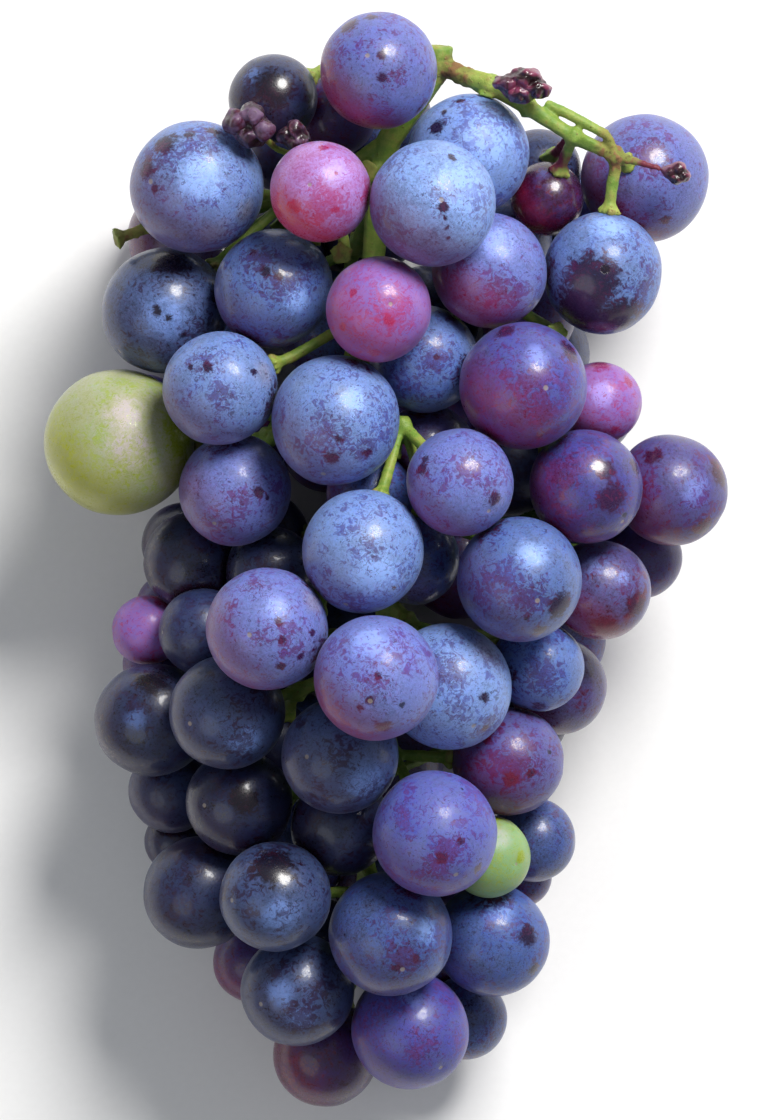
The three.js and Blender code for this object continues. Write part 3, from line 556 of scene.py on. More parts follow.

# Marks on the side of a berry that faces up. Each is a place across and along from the berry's
# middle, as a share of its radius, and the mark's own radius in millimetres.
# rub: bloom wiped off, on slate berries partly painted shadow; dapple: thick with specks;
# frost: thick pale bloom, on slate berries partly painted light; warm: dusty and tan; pit: a dry sunken
# scar.
MARKS = {
    "violet_berry_01": {
        "rub": [(-0.5, -0.5, 2.4), (-0.1, -0.77, 1.1), (0.3, -0.67, 1.2), (-0.51, 0.41, 0.9)],
        "dapple": [(0.1, 0.3, 4)],
    },
    "violet_berry_02": {
        "rub": [
            (0.06, 0.21, 1.1),
            (0.06, -0.17, 1.15),
            (-0.5, 0.73, 2.0),
            (-0.13, 0.87, 1.2),
            (0.75, -0.64, 1.8),
        ],
        "dapple": [(0.3, -0.1, 3)],
    },
    "violet_berry_03": {"dapple": [(0.3, -0.4, 4)], "frost": [(0.1, 0.5, 4)]},
    "violet_berry_04": {
        "rub": [(0.25, -0.77, 1.1), (0.72, 0.52, 2.4), (-0.3, 0.86, 2.2)],
        "dapple": [(0.08, -0.13, 5), (0.3, -0.45, 3)],
        "frost": [(0.2, 0.45, 2.5)],
    },
    "violet_berry_05": {
        "rub": [(0.44, -0.21, 3.0), (0.3, 0.3, 2.2), (0.85, 0.35, 1.6)],
        "dapple": [(-0.4, 0.2, 4)],
        "pit": [(0.65, -0.5, 0.75)],
    },
    "violet_berry_06": {"rub": [(0.43, -0.04, 1.1), (0.59, -0.14, 0.6)], "dapple": [(0.03, -0.25, 4)]},
    "violet_berry_07": {
        "rub": [(-0.72, 0.23, 1.4), (0.63, -0.31, 1.35), (-0.65, 0.42, 0.9)],
        "dapple": [(0.16, 0.3, 3), (0.55, -0.1, 2.5)],
    },
    "violet_berry_08": {
        "rub": [
            (0.2, 0.12, 0.9),
            (0.25, -0.17, 0.85),
            (0.23, -0.6, 1.0),
            (0.54, -0.43, 0.9),
            (0.74, -0.05, 0.7),
        ],
        "dapple": [(-0.15, 0.7, 3), (-0.6, 0.27, 3), (0.4, -0.3, 4), (-0.1, -0.1, 3)],
        "warm": [(0.76, 0.45, 3.4)],
        "frost": [(0.15, 0.35, 2.5)],
    },
    "violet_berry_09": {
        "rub": [(-0.1, -0.34, 1.0), (0.11, -0.76, 1.7), (0.04, 0.05, 0.8), (-0.25, -0.45, 0.8)],
        "dapple": [(0.1, -0.2, 4.5)],
        "frost": [(-0.1, 0.6, 4)],
        "pit": [(0.41, -0.41, 0.8)],
    },
    "violet_berry_10": {
        "rub": [(0.67, -0.53, 1.1), (0.1, -0.35, 1.2), (0.4, -0.1, 0.7)],
        "dapple": [(0.24, -0.24, 4.5), (0.0, -0.5, 4)],
        "pit": [(0.42, 0.73, 0.6)],
    },
    "violet_berry_11": {"dapple": [(0.23, -0.24, 4.5)], "frost": [(0.0, 0.6, 2.5)]},
    "blue_berry_01": {
        "rub": [(-0.2, -0.2, 6.0), (-0.35, -0.7, 6.5), (0.25, -0.75, 5.0)],
        "dapple": [(0.7, -0.1, 4)],
        "frost": [(0.1, 0.75, 4)],
        "pit": [(0.02, 0.03, 1.0)],
    },
    "blue_berry_02": {
        "rub": [(-0.53, 0.42, 1.7), (-0.4, 0.68, 0.8), (-0.15, 0.86, 0.9), (0.58, 0.78, 1.0)],
        "frost": [(0.3, 0.2, 5)],
    },
    "blue_berry_03": {
        "rub": [
            (-0.46, 0.62, 2.6),
            (-0.72, 0.25, 2.2),
            (0.26, 0.82, 1.5),
            (-0.6, -0.05, 1.0),
            (-0.1, 0.75, 1.2),
        ],
        "dapple": [(-0.5, 0.3, 5), (0.1, 0.6, 4)],
        "frost": [(0.1, 0.1, 5)],
        "warm": [(0.3, -0.75, 4), (0.75, -0.4, 3)],
    },
    "blue_berry_04": {
        "rub": [(-0.11, 0.26, 1.2), (0.13, 0.19, 0.9), (-0.35, 0.6, 0.8)],
        "dapple": [(-0.25, 0.49, 4), (0.15, 0.0, 4)],
        "frost": [(0.4, -0.2, 3)],
    },
    "blue_berry_05": {
        "rub": [
            (0.15, -0.1, 1.1),
            (0.2, -0.26, 0.55),
            (0.22, -0.42, 0.5),
            (0.24, -0.58, 0.5),
            (0.3, 0.69, 1.0),
        ],
        "frost": [(0.4, 0.2, 5)],
        "dapple": [(0.2, 0.1, 4)],
    },
    "blue_berry_06": {"rub": [(0.22, 0.02, 0.6)], "dapple": [(0.17, 0.0, 4.5)]},
    "blue_berry_07": {
        "rub": [(-0.05, -0.58, 1.6), (0.5, -0.5, 1.1), (0.05, -0.3, 0.9)],
        "dapple": [(-0.05, -0.15, 5), (0.45, -0.45, 3)],
        "frost": [(0.3, 0.3, 3)],
    },
    "blue_berry_08": {
        "rub": [(-0.21, 0.35, 1.1), (0.6, 0.28, 0.8), (-0.5, 0.35, 0.7)],
        "dapple": [(-0.32, 0.43, 3.5), (0.1, -0.2, 3)],
        "warm": [(0.78, 0.25, 3.2)],
    },
    "blue_berry_09": {"dapple": [(0.1, 0.1, 5)], "frost": [(0.2, -0.4, 5)], "rub": [(0.5, -0.6, 0.6)]},
    "blue_berry_10": {
        "rub": [(0.62, -0.42, 2.8), (0.31, -0.8, 1.4), (0.1, -0.6, 0.7)],
        "dapple": [(0.2, -0.3, 5)],
        "frost": [(0.2, 0.4, 3.5)],
        "pit": [(0.1, -0.62, 0.5)],
    },
    "blue_berry_11": {
        "rub": [(0.55, -0.15, 1.1), (0.74, -0.17, 0.6), (0.57, -0.62, 0.9)],
        "dapple": [(0.13, -0.47, 3), (0.57, -0.6, 2.5), (0.0, 0.3, 4)],
        "warm": [(0.6, 0.6, 4.0)],
    },
    "blue_berry_12": {"dapple": [(0.1, -0.3, 4)], "rub": [(0.0, -0.9, 1.4)]},
    "blue_berry_13": {
        "dapple": [(0.26, -0.37, 4.5)],
        "rub": [(0.1, -0.5, 1.0), (0.4, -0.35, 0.9)],
        "frost": [(0.6, 0.1, 3)],
    },
    "blue_berry_14": {"rub": [(0.64, 0.1, 2.2), (0.72, -0.5, 1.5)], "frost": [(0.1, 0.6, 3.5)]},
    # On the slate berries, frost is partly painted light, pale lit patches, and the large rubs are partly
    # painted shadow cast by the berries above.
    "slate_berry_01": {"rub": [(0.0, 0.2, 4)], "frost": [(-0.5, 0.5, 2.5)]},
    "slate_berry_02": {
        "rub": [(-0.1, -0.03, 1.0), (0.08, -0.15, 0.8), (0.3, -0.43, 0.8), (0.1, 0.75, 4)],
        "frost": [(0.05, -0.15, 5)],
    },
    "slate_berry_03": {"frost": [(-0.27, 0.04, 2.4)], "rub": [(0.0, 0.7, 3.5)]},
    "slate_berry_04": {"frost": [(0.34, -0.53, 3.6)], "dapple": [(0.3, -0.5, 3)]},
    "slate_berry_05": {"frost": [(0.47, -0.4, 4.5)], "dapple": [(0.5, -0.5, 3)]},
    "slate_berry_07": {"rub": [(0.1, 0.1, 3)]},
    "slate_berry_09": {
        "frost": [(0.1, -0.35, 4.2)],
        "rub": [(0.0, 0.6, 4.5)],
        "dapple": [(0.2, -0.3, 3)],
    },
    "slate_berry_10": {"frost": [(-0.3, 0.0, 3), (0.07, -0.47, 3)], "dapple": [(0.0, -0.4, 4)]},
    "plum_berry_01": {"frost": [(-0.1, 0.65, 1.6)]},
    "plum_berry_02": {
        "rub": [(-0.36, 0.6, 1.9), (0.85, 0.3, 2.6), (0.56, -0.66, 2.2)],
        "frost": [(0.4, 0.0, 3.4)],
    },
    "plum_berry_03": {
        "rub": [(0.7, -0.3, 2.8), (0.1, -0.75, 2.5)],
        "frost": [(0.45, 0.25, 1.8), (-0.1, 0.5, 2.5)],
    },
    "plum_berry_05": {
        "rub": [(0.0, -0.3, 1.4), (0.4, -0.2, 1.0)],
        "dapple": [(0.3, -0.1, 4.5)],
        "pit": [(0.73, 0.18, 0.7)],
    },
    "pink_berry_01": {
        "rub": [(0.06, 0.83, 1.0), (-0.48, -0.31, 1.5), (0.3, -0.4, 0.8), (0.3, 0.32, 0.6)],
        "dapple": [(0.1, -0.3, 4)],
        "frost": [(0.3, 0.4, 3)],
    },
    "pink_berry_02": {
        "rub": [(0.18, -0.23, 1.1), (-0.67, -0.35, 0.7), (-0.47, 0.29, 0.8), (-0.1, -0.82, 1.2)],
        "dapple": [(0.3, 0.0, 4)],
    },
    "pink_berry_03": {
        "rub": [(0.0, 0.92, 2.0), (0.68, 0.5, 1.3), (0.33, -0.7, 1.2)],
        "frost": [(0.0, 0.2, 3)],
    },
    "pink_berry_04": {"rub": [(0.3, 0.8, 1.0)]},
    "green_berry_01": {
        "frost": [(0.15, -0.1, 5), (0.1, 0.4, 4)],
        "dapple": [(0.2, -0.3, 5)],
        "rub": [(0.85, 0.1, 4.5), (-0.8, -0.5, 2.5)],
    },
    "green_berry_02": {"rub": [(0.75, 0.0, 1.2)], "frost": [(0.2, 0.5, 3)]},
}
MARK_KINDS = ["rub", "dapple", "frost", "warm", "pit"]


LUMP_SIZE = 7  # millimetres from one low swelling to the next
TIP_DIP = 0.16 * MM
TIP_WIDTH = 0.7 * MM
TOUCH_BAND = 0.8 * MM  # width of the rubbed ring around a place that is touched
FLAT_FROM = 0.3  # flats reach no nearer to the middle than this share of the berry's length


def skin_points(berry, ball):
    """Points of a berry's skin, and the numbers that its material reads at each of them."""
    shape = bpy.context.scene.bunch.berries
    side, other_side = across(berry.stalk_way)
    turn = berry.draw.uniform(0, 2 * math.pi)
    first = math.cos(turn) * side + math.sin(turn) * other_side
    second = np.cross(berry.stalk_way, first)
    ways = ball @ np.array([first, second, berry.stalk_way])
    length = berry.radius + shape.swell
    reach = length * (shape.slimness + (1 - shape.slimness) * ball[:, 2] ** 2)
    offset = np.array([berry.draw.uniform(0, 500) for _ in range(3)])
    reach = reach + shape.lumps * rolls(ways * berry.radius / MM + offset, LUMP_SIZE)
    tip_distance = np.linalg.norm(ball[:, :2], axis=1) * length
    on_tip = ball[:, 2] < 0
    reach = reach - np.where(on_tip, TIP_DIP * np.exp(-((tip_distance / TIP_WIDTH) ** 2)), 0)
    touch = np.full(len(ball), -1.0)
    for way, flat_at in neighbours(berry, length):
        height = ways @ way * reach
        bent = -shape.softness * np.logaddexp(-height / shape.softness, -flat_at / shape.softness)
        floor = FLAT_FROM * length
        reach = np.where(height > floor, reach * bent / np.maximum(height, floor), reach)
        touch = np.maximum(touch, 1 - (flat_at - height) / TOUCH_BAND)
    points = berry.middle + ways * reach[:, None]
    points[:, 2] = np.maximum(points[:, 2], 0.0)
    tone, cover, blush_and_shade = ripeness(berry)
    # Blush and painted shade, strongest on the side away from the key light.
    shaded = np.clip(0.5 + 1.1 * (ways @ blush_way(berry) - 0.3), 0, 1)
    depths = marks(berry, ways)
    depths["rub"] = np.maximum(depths["rub"], 0.5 * touch)
    count = len(ball)
    return points, {
        "place": ball,
        "grain": ways * (berry.radius / MM) + offset,
        "tone": np.full(count, tone),
        "cover": np.full(count, cover),
        "blush_and_shade": blush_and_shade * smooth_step(shaded),
        **depths,
    }


SKIN_GAP = 0.02 * MM


def neighbours(berry, length):
    """Directions of the berries near this one, with the distance at which the skins meet."""
    swell = bpy.context.scene.bunch.berries.swell
    for other in EVERY_BERRY:
        between = other.middle - berry.middle
        apart = np.linalg.norm(between)
        if other is berry or apart > length + other.radius + 2 * swell:
            continue
        flat_at = (apart**2 + length**2 - (other.radius + swell) ** 2) / (2 * apart)
        yield between / apart, flat_at - SKIN_GAP
    yield np.array([0, 0, -1.0]), berry.middle[2]


def ripeness(berry):
    if berry.node in RIPENESS:
        return RIPENESS[berry.node]
    return [value + berry.draw.uniform(-SPREAD_INSIDE, SPREAD_INSIDE) for value in INSIDE_RIPENESS]


BLUSH_AND_SHADE_JITTER = 0.28
SPREAD_INSIDE = 0.15


# Which way a berry's blush and painted shade lie: the shaded side, turned a little at random.
def blush_way(berry):
    jitter = np.array([berry.draw.uniform(-BLUSH_AND_SHADE_JITTER, BLUSH_AND_SHADE_JITTER) for _ in range(3)])
    return unit(SHADED_SIDE + jitter)


def marks(berry, ways):
    """For each kind of mark, how deep each skin point lies inside one: 1 at its middle, 0 at its edge."""
    depths = {}
    for kind in MARK_KINDS:
        depth = np.full(len(ways), -1.0)
        for x, y, size in MARKS.get(berry.node, {}).get(kind, []):
            way = np.array([x, y, math.sqrt(max(0.0, 1 - x * x - y * y))])
            away = np.arccos(np.clip(ways @ unit(way), -1, 1)) * berry.radius
            depth = np.maximum(depth, 1 - away / (size * MM))
        depths[kind] = depth
    return depths


DUSTY_TAN = (0.36, 0.31, 0.27)
DRY_SCAR = (0.3, 0.25, 0.22)


def bloomed(family):
    """Name of a family's skin material; the frame holds plain materials with the slots' names."""
    return f"bloomed_{family}"


def skin_material(family):
    """Waxy bloom over dark skin: cloudy, freckled, rubbed off in places, thinner where blushed."""
    look = getattr(bpy.context.scene.bunch, family)
    recipe = Recipe(bloomed(family))
    grain = recipe.place("grain")
    place = recipe.node("ShaderNodeSeparateXYZ", {}, {0: recipe.place("place")})
    x, y, z = (Value(recipe, out) for out in place.outputs)
    tip_distance = (x * x + y * y) + z.rise(-0.8, -0.6)

    cloud = recipe.cloud(grain, 0.15, 3.0, 0.5, 0.4) - 0.5
    mottle = recipe.cloud(grain, 0.45, 4.0, 0.62, 0.8) - 0.5
    smudge = recipe.cloud(grain, 0.9, 4.0, 0.68, 1.2) - 0.5
    fine = recipe.cloud(grain, 2.3, 3.0, 0.75, 0.6) - 0.5
    dashes = recipe.cloud(grain, 1.5, 2.0, 0.6, 1.6) - 0.5

    dapple = recipe.number("dapple").rise(-0.1, 0.8)
    frost = (recipe.number("frost") + mottle * 1.2).rise(0.0, 0.8)
    warm = (recipe.number("warm") + mottle * 1.2).rise(0.0, 0.9)
    freckle = (dashes + mottle * 0.4 + dapple * 0.06 - (0.15 - 0.07 * look.freckles)).rise(0.0, 0.05)
    blotch = (smudge + cloud * 0.6 + dapple * 0.12).rise(0.02, 0.16)
    bare = (recipe.number("rub") + smudge * 1.5 + mottle * 1.0 + fine * 0.4).rise(0.0, 0.45)
    pit = (recipe.number("pit") + smudge * 0.8 + fine * 0.6).rise(0.15, 0.45)
    scar = tip_distance.rise(0.0024, 0.0008)

    # Blush and painted shade: thinner bloom and redder skin on the side away from the key light.
    blush_and_shade = recipe.number("blush_and_shade")
    blush_and_shade = (blush_and_shade + blush_and_shade * mottle * 0.6).clipped()
    cover = recipe.number("cover") * 0.95 + cloud * 0.9 + mottle * 0.8 + smudge * 0.4 + fine * 1.3
    cover = cover + frost * 0.4 - blush_and_shade * 0.4 - blotch * 0.3
    cover = (cover.clipped() * (1 - bare * 0.96) * (1 - freckle * 0.6)).clipped()

    tone = recipe.number("tone") + cloud * 1.1 + mottle * 0.9 + smudge * 0.5 + fine * 0.9
    tone = (tone + blotch * 0.35 - frost * 0.4).clipped()
    bloom = recipe.mix(tone, look.pale, look.deep)
    bloom = recipe.mix(warm * 0.45, bloom, DUSTY_TAN)
    bloom = recipe.mix((blush_and_shade * 0.55 + blotch * 0.16).clipped(), bloom, look.blushed)
    skin = recipe.mix((blush_and_shade * 1.2 + mottle * 0.4 + blotch * 0.25).clipped(), look.bare, look.blushed)
    shade = recipe.mix(cover, skin, bloom)
    dark = [channel * 0.25 for channel in look.bare]
    shade = recipe.mix(pit * 0.85, shade, dark)
    shade = recipe.mix(scar * 0.7, shade, DRY_SCAR)

    height = fine * 0.5 + mottle * 0.6 - pit * 1.2 - scar * 0.8 + cover * 0.3
    return recipe.finish(
        Base_Color=shade,
        Roughness=0.27 + cover * 0.27 + fine * 0.1,
        Coat_Weight=(1 - cover).clipped() * 0.45,
        Coat_Roughness=0.12,
        IOR=1.42,
        Normal=recipe.relief(height, 0.06 * MM, 0.7),
        Subsurface_Weight=look.translucency,
        Subsurface_Radius=tuple(look.flesh),
        Subsurface_Scale=2.2 * MM,
        Sheen_Weight=0.12,
        Sheen_Roughness=0.25,
        Sheen_Tint=(0.62, 0.72, 1.0),
    )


# ---------------------------------------------------------------- stem

# Where the stem is corky, and where it dried: place and radius in millimetres, and how much.
CORK = [
    ((10.7, 74.1, 41.3), 2.9, 0.95),
    ((7.8, 78.6, 40.5), 2.6, 0.45),
    ((33.3, 64.5, 43.2), 1.9, 0.7),
    ((34.5, 61.7, 41.5), 3.2, 0.85),
    ((32.2, 53.7, 40.0), 2.8, 0.4),
    ((-38.5, 50, 33.5), 3.0, 0.7),
    ((-1.8, 59.4, 44), 2.4, 0.6),
    ((-5.8, 47.4, 44), 2.6, 0.6),
]
DRIED = [
    ((42.4, 60.1, 42.5), 4.0, 1.0),
    ((25.5, 63.5, 37.5), 4.0, 0.95),
    ((-20.5, 65.5, 45), 4.0, 0.6),
    ((-14.3, 64.4, 46), 3.6, 0.5),
]


def spot_shares(points, spots):
    """How much each point belongs to the spots, from 0 to 1."""
    share = np.zeros(len(points))
    for place, size, amount in spots:
        away = np.linalg.norm(points - np.array(place) * MM, axis=1) / (size * MM)
        share = np.maximum(share, amount * np.clip(1.6 - away, 0, 1))
    return share


def rebuilt(node, grain, smoothing):
    """Points, normals and faces of a node's mesh, rebuilt in even squares and smoothed."""
    source = frame_mesh(node)
    mesh = bpy.data.meshes.new(node + "_rebuilt")
    source.to_mesh(mesh)
    source.free()
    piece = bpy.data.objects.new(node + "_rebuilt", mesh)
    bpy.context.scene.collection.objects.link(piece)
    remesh = piece.modifiers.new("even", "REMESH")
    remesh.mode = "VOXEL"
    remesh.voxel_size = grain
    smooth = piece.modifiers.new("smooth", "SMOOTH")
    smooth.factor = 0.5
    smooth.iterations = smoothing
    done = piece.evaluated_get(bpy.context.evaluated_depsgraph_get()).to_mesh()
    count = len(done.vertices)
    points, normals = np.zeros(count * 3), np.zeros(count * 3)
    done.vertices.foreach_get("co", points)
    done.vertices.foreach_get("normal", normals)
    faces = [tuple(p.vertices) for p in done.polygons]
    bpy.data.objects.remove(piece)
    return points.reshape(-1, 3), normals.reshape(-1, 3), faces


COLLAR_REACH = 3.6 * MM  # from a berry's seat, within which the stem is its collar
COLLAR_HEIGHT = 1.2 * MM
COLLAR_RADIUS = 1.4 * MM
LOBES = [7, 8, 9]
SEAT_PULL = 0.3 * MM  # how far a collar reaches towards its berry
LIT_HEIGHT = 36 * MM  # the stem is fully green above this; below, painted shade darkens it towards the shaded green
BARK_THICKNESS = 0.07 * MM
KNOB_HEIGHT = 0.06 * MM
LOBE_HEIGHT = 0.1 * MM
SHRIVEL = 0.3 * MM
STEM_SMOOTHING = 4


def stem_piece():
    look = bpy.context.scene.bunch.stem
    points, normals, faces = rebuilt("stem", look.grain, STEM_SMOOTHING)
    cork = spot_shares(points, CORK)
    dried = spot_shares(points, DRIED)
    collar = np.zeros(len(points))
    pull = np.zeros(points.shape)
    lobes = np.zeros(len(points))
    for berry in EVERY_BERRY:
        seat = berry.middle + berry.stalk_way * berry.radius
        near = np.flatnonzero(np.linalg.norm(points - seat, axis=1) < COLLAR_REACH)
        if not len(near):
            continue
        from_seat = points[near] - seat
        up = from_seat @ berry.stalk_way
        flat = from_seat - up[:, None] * berry.stalk_way
        side, other_side = across(berry.stalk_way)
        angle = np.arctan2(flat @ other_side, flat @ side)
        out = np.linalg.norm(flat, axis=1)
        share = np.clip(1.5 - up / COLLAR_HEIGHT, 0, 1) * np.clip(out / COLLAR_RADIUS, 0, 1)
        collar[near] = np.maximum(collar[near], share)
        count = berry.draw.choice(LOBES)
        wave = np.cos(angle * count + berry.draw.uniform(0, 6)) + 0.5 * np.cos(angle * 3 + 1)
        lobes[near] = np.where(share > 0, wave * share, lobes[near])
        facing = np.clip(-(normals[near] @ berry.stalk_way), 0, 1)
        pull[near] -= (facing * SEAT_PULL)[:, None] * berry.stalk_way
    warts = np.maximum(rolls(points / MM, 1.1, 2), -0.3)
    knobs = rolls(points / MM + 40, 3.2, 2)
    height = BARK_THICKNESS + KNOB_HEIGHT * knobs + LOBE_HEIGHT * lobes
    height += look.warts * warts * np.maximum(cork, 0.5 * collar)
    height -= SHRIVEL * dried * np.abs(rolls(points / MM + 90, 1.6, 2))
    points = points + normals * height[:, None] + pull
    # Painted shade: none high in the bunch, growing to full towards the floor.
    depth = np.clip(1.25 - points[:, 2] / LIT_HEIGHT, 0, 1)
    attributes = {
        "grain": points / MM,
        "cork": cork,
        "dried": dried,
        "collar": np.maximum(collar, 0),
        "wart": warts,
        "depth": depth,
    }
    return add_piece("green_stem", points, faces, [stem_material()], attributes, "stem")


def stem_material():
    """Green bark with lengthwise streaks, pale warts on collars, cork on joints, dried ends."""
    look = bpy.context.scene.bunch.stem
    recipe = Recipe("stem_bark")
    grain = recipe.place("grain")
    cloud = recipe.cloud(grain, 0.22, 3.0) - 0.5
    mottle = recipe.cloud(grain, 1.1, 3.0, 0.6) - 0.5
    fine = recipe.cloud(grain, 5.0, 2.0, 0.6) - 0.5
    cork = (recipe.number("cork") + mottle * 0.5).rise(0.25, 0.75)
    dried = (recipe.number("dried") + mottle * 0.4).rise(0.25, 0.6)
    collar = (recipe.number("collar") + mottle * 0.6).rise(0.2, 0.9)
    wart = recipe.number("wart").rise(0.05, 0.4)
    lenticels = recipe.cells(grain, 1.0)
    dot = lenticels[0].rise(0.2, 0.1) * lenticels[1].rise(0.55, 0.6)

    green = recipe.mix((cloud * 2.6 + 0.35 + mottle * 1.6 + fine * 0.8).clipped(), look.green, look.yellow)
    green = recipe.mix((mottle + cloud * 0.6 + fine * 0.4).rise(0.1, 0.24) * 0.45, green, look.cork)
    # Painted shade: the lower the stem lies, the darker its green.
    green = recipe.mix(recipe.number("depth") * 0.75, green, look.shade)
    shade = recipe.mix(collar * 0.5, green, look.yellow)
    shade = recipe.mix((collar * wart * 0.55 + dot * 0.4).clipped(), shade, look.cork)
    shade = recipe.mix(cork * (0.45 + wart * 0.55), shade, look.cork)
    deep_cork = [channel * 0.35 for channel in look.cork]
    shade = recipe.mix(cork * (0.0 - mottle).rise(0.05, 0.2) * 0.7, shade, deep_cork)
    shade = recipe.mix(dried, shade, look.dry)
    height = mottle * 0.6 + fine * 0.5 + dot * 0.8
    return recipe.finish(
        Base_Color=shade,
        Roughness=0.52 + cork * 0.3 + fine * 0.2,
        IOR=1.45,
        Normal=recipe.relief(height, 0.15 * MM, 0.8),
        Subsurface_Weight=0.12,
        Subsurface_Radius=(0.8, 1.0, 0.3),
        Subsurface_Scale=1.0 * MM,
    )


# ---------------------------------------------------------------- raisins


# How much longer the folds are along the stalk's way than across it: 0 even, 1 endless.
FOLD_STRETCH = 0.62
# The ones that dried long ago, and gathered dust.
DUSTY_RAISINS = {"raisin_left_large", "raisin_left_small"}
# How far the neck of a dried berry goes into its stalk.
NECK_REACH = 0.3 * MM
RAISIN_GRAIN = 0.2 * MM
RAISIN_SMOOTHING = 6
FULL_RAISIN = 7 * MM  # thickness of a dried berry with folds of full size
BULGE = 0.35 * MM


def raisin_piece(node):
    """A berry that shrank on its stalk: long soft folds between rounded ridges."""
    look = bpy.context.scene.bunch.raisins
    points, normals, faces = rebuilt(node, RAISIN_GRAIN, RAISIN_SMOOTHING)
    low, high = points.min(0), points.max(0)
    size = (high - low).min() / FULL_RAISIN
    middle = (low + high) / 2
    seat = np.array(stem_surface.find_nearest(Vector(middle))[0])
    along = unit(middle - seat)
    place = (points - middle) / MM
    place = place - FOLD_STRETCH * (place @ along)[:, None] * along + len(node) * 3.7
    folds = np.exp(-((np.abs(rolls(place, 3.6 * size, 1)) / 0.17) ** 2))
    small_folds = np.exp(-((np.abs(rolls(place + 30, 1.9 * size, 1)) / 0.16) ** 2))
    bulge = rolls(place + 60, 2.6, 1)
    dusty = node in DUSTY_RAISINS
    relief = folds + 0.24 * small_folds
    if dusty:
        height = BULGE * bulge + look.depth * 0.7 * relief - 0.15 * MM
    else:
        height = BULGE * bulge - look.depth * 0.6 * relief + 0.3 * MM
    # Where the bottoms of the folds lie, which the material fills with painted shade.
    folded = np.clip(folds + 0.5 * small_folds, 0, 1)
    attributes = {
        "grain": points / MM,
        "fold": 1 - folded if dusty else folded,
        "dusty": np.full(len(points), float(dusty)),
    }
    moved = points + normals * (height * size)[:, None]
    towards = (moved - middle) @ -along / np.linalg.norm(moved - middle, axis=1)
    neck = np.clip((towards - 0.8) / 0.2, 0, 1)[:, None] ** 2
    moved = moved * (1 - neck) + (seat - NECK_REACH * along) * neck
    moved[:, 2] = np.minimum(moved[:, 2], high[2])
    return add_piece("wrinkled_" + node, moved, faces, [raisin_material()], attributes, node)


def raisin_material():
    found = bpy.data.materials.get("raisin_skin")
    if found:
        return found
    look = bpy.context.scene.bunch.raisins
    recipe = Recipe("raisin_skin")
    grain = recipe.place("grain")
    cloud = recipe.cloud(grain, 0.3, 3.0) - 0.5
    mottle = recipe.cloud(grain, 1.4, 3.0, 0.6) - 0.5
    fine = recipe.cloud(grain, 6.0, 2.0) - 0.5
    fold = recipe.number("fold")
    # Painted shade in the bottoms of the folds; the dust keeps to the ridges.
    low = (fold + mottle * 0.3).rise(0.1, 0.9)
    shade = recipe.mix(low, look.ridge, look.fold)
    red = [channel * 0.6 for channel in look.ridge]
    shade = recipe.mix((cloud * 2.4).clipped(), shade, red)
    dusty = recipe.number("dusty")
    shade = recipe.mix(dusty * 0.7, shade, look.fold)
    dust = ((1 - low * 0.8) * (cloud + mottle * 0.8 + 0.25 + dusty * 0.2).rise(0.3, 0.62)).clipped()
    shade = recipe.mix(dust * (0.45 - dusty * 0.1), shade, look.dust)
    return recipe.finish(
        Base_Color=shade,
        Roughness=0.3 + dust * 0.25 + fine * 0.15,
        Coat_Weight=(1 - dust).clipped() * 0.4,
        Coat_Roughness=0.14,
        IOR=1.45,
        Normal=recipe.relief(mottle * 0.8 + fine * 0.4, 0.12 * MM, 0.8),
        Subsurface_Weight=0.1,
        Subsurface_Radius=(1.0, 0.25, 0.2),
        Subsurface_Scale=1.0 * MM,
    )


# ---------------------------------------------------------------- operators


class GRAPES_OT_stem(bpy.types.Operator):
    """Builds the stem with its side branches, stalks and warty collars"""

    bl_idname = "grapes.stem"
    bl_label = "Stem"

    def execute(self, context):
        stem_piece()
        return {"FINISHED"}


class GRAPES_OT_raisins(bpy.types.Operator):
    """Builds the berries that dried on their stalks"""

    bl_idname = "grapes.raisins"
    bl_label = "Raisins"

    def execute(self, context):
        for node in RAISINS:
            raisin_piece(node)
        return {"FINISHED"}


BALL_DIVISIONS = 5


class GRAPES_OT_outer_berries(bpy.types.Operator):
    """Builds the berries that are seen whole or nearly whole, one piece each"""

    bl_idname = "grapes.outer_berries"
    bl_label = "Outer berries"

    def execute(self, context):
        ball, faces = unit_ball(BALL_DIVISIONS)
        skins = {family: skin_material(family) for family in FAMILIES}
        for berry in OUTER:
            points, attributes = skin_points(berry, ball)
            name = "bloomed_" + berry.node
            slot = berry.family + "_skin"
            add_piece(name, points, faces, [skins[berry.family]], attributes, berry.node)
        return {"FINISHED"}


class GRAPES_OT_inner_berries(bpy.types.Operator):
    """Builds the berries inside and under the bunch, one piece for each joined group"""

    bl_idname = "grapes.inner_berries"
    bl_label = "Inner berries"

    def execute(self, context):
        ball, faces = unit_ball(BALL_DIVISIONS)
        for node, berries in INNER.items():
            families = sorted({berry.family for berry in berries})
            skins = [bpy.data.materials[bloomed(family)] for family in families]
            built = [skin_points(berry, ball) for berry in berries]
            points = np.vstack([made[0] for made in built])
            keys = built[0][1]
            attributes = {key: np.concatenate([made[1][key] for made in built]) for key in keys}
            corners = np.vstack([faces + i * len(ball) for i in range(len(berries))])
            index = np.repeat([families.index(berry.family) for berry in berries], len(faces))
            add_piece("bloomed_" + node, points, corners, skins, attributes, node, index)
        return {"FINISHED"}


FLOOR_HALF = 3.0
FLOOR_BELOW = -0.1 * MM
AIM = Vector((0, 0, 0.03))
KEY_PLACE, KEY_SIZE = (0.42, 0.72, 0.85), 0.5
FILL_PLACE, FILL_SIZE = (-0.7, -0.5, 0.9), 0.9
CAMERA_SHIFT = Vector((-0.89 * MM, 0.95 * MM, 0))


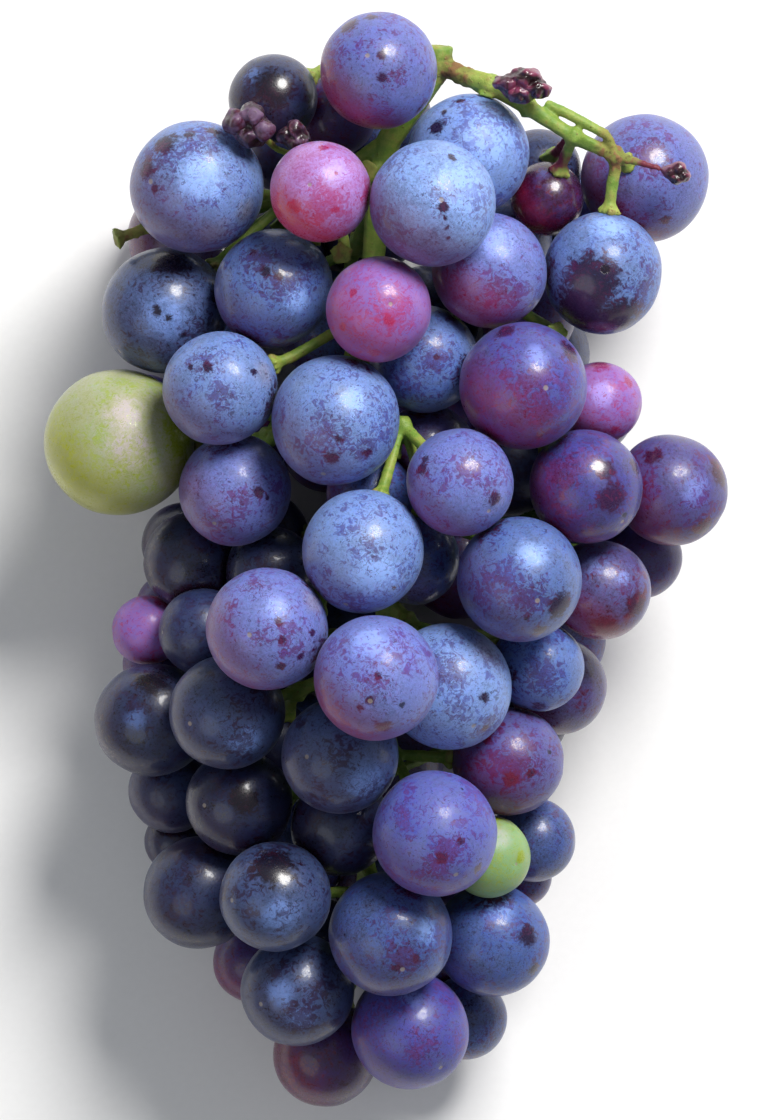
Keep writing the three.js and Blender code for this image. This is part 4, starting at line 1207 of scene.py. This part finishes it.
def aimed(thing, target):
    thing.rotation_mode = "QUATERNION"
    thing.rotation_quaternion = (target - thing.location).to_track_quat("-Z", "Y")


def area_light(name, place, size, power, tint):
    lamp = bpy.data.lights.new(name, "AREA")
    lamp.shape = "DISK"
    lamp.size = size
    lamp.energy = power
    lamp.color = tint
    light = bpy.data.objects.new(name, lamp)
    light.location = place
    aimed(light, AIM)
    bpy.context.scene.collection.objects.link(light)


class GRAPES_OT_stage(bpy.types.Operator):
    """Sets up the pale floor, the soft lights and the camera that looks straight down"""

    bl_idname = "grapes.stage"
    bl_label = "Stage"

    def execute(self, context):
        scene = context.scene
        stage = scene.bunch.stage
        mesh = bpy.data.meshes.new("floor")
        half, below = FLOOR_HALF, FLOOR_BELOW
        corners = [(-half, -half, below), (half, -half, below), (half, half, below), (-half, half, below)]
        mesh.from_pydata(corners, [], [(0, 1, 2, 3)])
        recipe = Recipe("pale_floor")
        place = recipe.node("ShaderNodeTexCoord").outputs["Object"]
        paper = recipe.cloud(place, 900.0, 3.0) - 0.5
        shade = recipe.mix((paper + 0.5).clipped(), (0.86, 0.86, 0.86), (0.9, 0.9, 0.9))
        mesh.materials.append(recipe.finish(Base_Color=shade, Roughness=0.8, IOR=1.3))
        floor = bpy.data.objects.new("floor", mesh)
        scene.collection.objects.link(floor)

        area_light("key", KEY_PLACE, KEY_SIZE, stage.key, (1.0, 0.98, 0.95))
        area_light("fill", FILL_PLACE, FILL_SIZE, stage.fill, (0.9, 0.94, 1.0))
        world = bpy.data.worlds.new("pale_room")
        scene.world = world
        world.use_nodes = True
        sky = world.node_tree.nodes["Background"].inputs
        sky["Color"].default_value = (0.93, 0.96, 1.0, 1.0)
        sky["Strength"].default_value = stage.sky

        camera_data = bpy.data.cameras.new("camera")
        camera_data.lens = stage.lens
        camera_data.clip_start, camera_data.clip_end = 0.05, 20
        camera = bpy.data.objects.new("camera", camera_data)
        middle = (Vector(frame_box[0]) + Vector(frame_box[1])) / 2
        camera.location = Vector((middle.x, middle.y, stage.height)) + CAMERA_SHIFT
        scene.collection.objects.link(camera)
        scene.camera = camera
        scene.view_settings.view_transform = "Standard"
        return {"FINISHED"}


class GRAPES_PT_bunch(bpy.types.Panel):
    """Lists what the bunch is made of"""

    bl_idname = "GRAPES_PT_bunch"
    bl_label = "Grape bunch"
    bl_space_type = "VIEW_3D"
    bl_region_type = "UI"
    bl_category = "Grapes"

    def draw(self, context):
        for operator in OPERATORS:
            self.layout.operator(operator.bl_idname)
        bunch = context.scene.bunch
        for name in ["berries", "stem", "raisins", "stage", *FAMILIES]:
            box = self.layout.box()
            box.label(text=name.capitalize())
            group = getattr(bunch, name)
            for key in type(group).__annotations__:
                box.prop(group, key)


OPERATORS = [
    GRAPES_OT_stem,
    GRAPES_OT_raisins,
    GRAPES_OT_outer_berries,
    GRAPES_OT_inner_berries,
    GRAPES_OT_stage,
]
CLASSES = [
    *FAMILIES.values(),
    BerrySettings,
    StemSettings,
    RaisinSettings,
    StageSettings,
    BunchSettings,
    *OPERATORS,
    GRAPES_PT_bunch,
]


def register():
    for cls in CLASSES:
        bpy.utils.register_class(cls)
    bpy.types.Scene.bunch = PointerProperty(type=BunchSettings)


def unregister():
    del bpy.types.Scene.bunch
    for cls in reversed(CLASSES):
        bpy.utils.unregister_class(cls)


def main():
    register()
    bpy.ops.grapes.stem()
    bpy.ops.grapes.raisins()
    bpy.ops.grapes.outer_berries()
    bpy.ops.grapes.inner_berries()
    bpy.ops.grapes.stage()


if __name__ == "__main__":
    main()
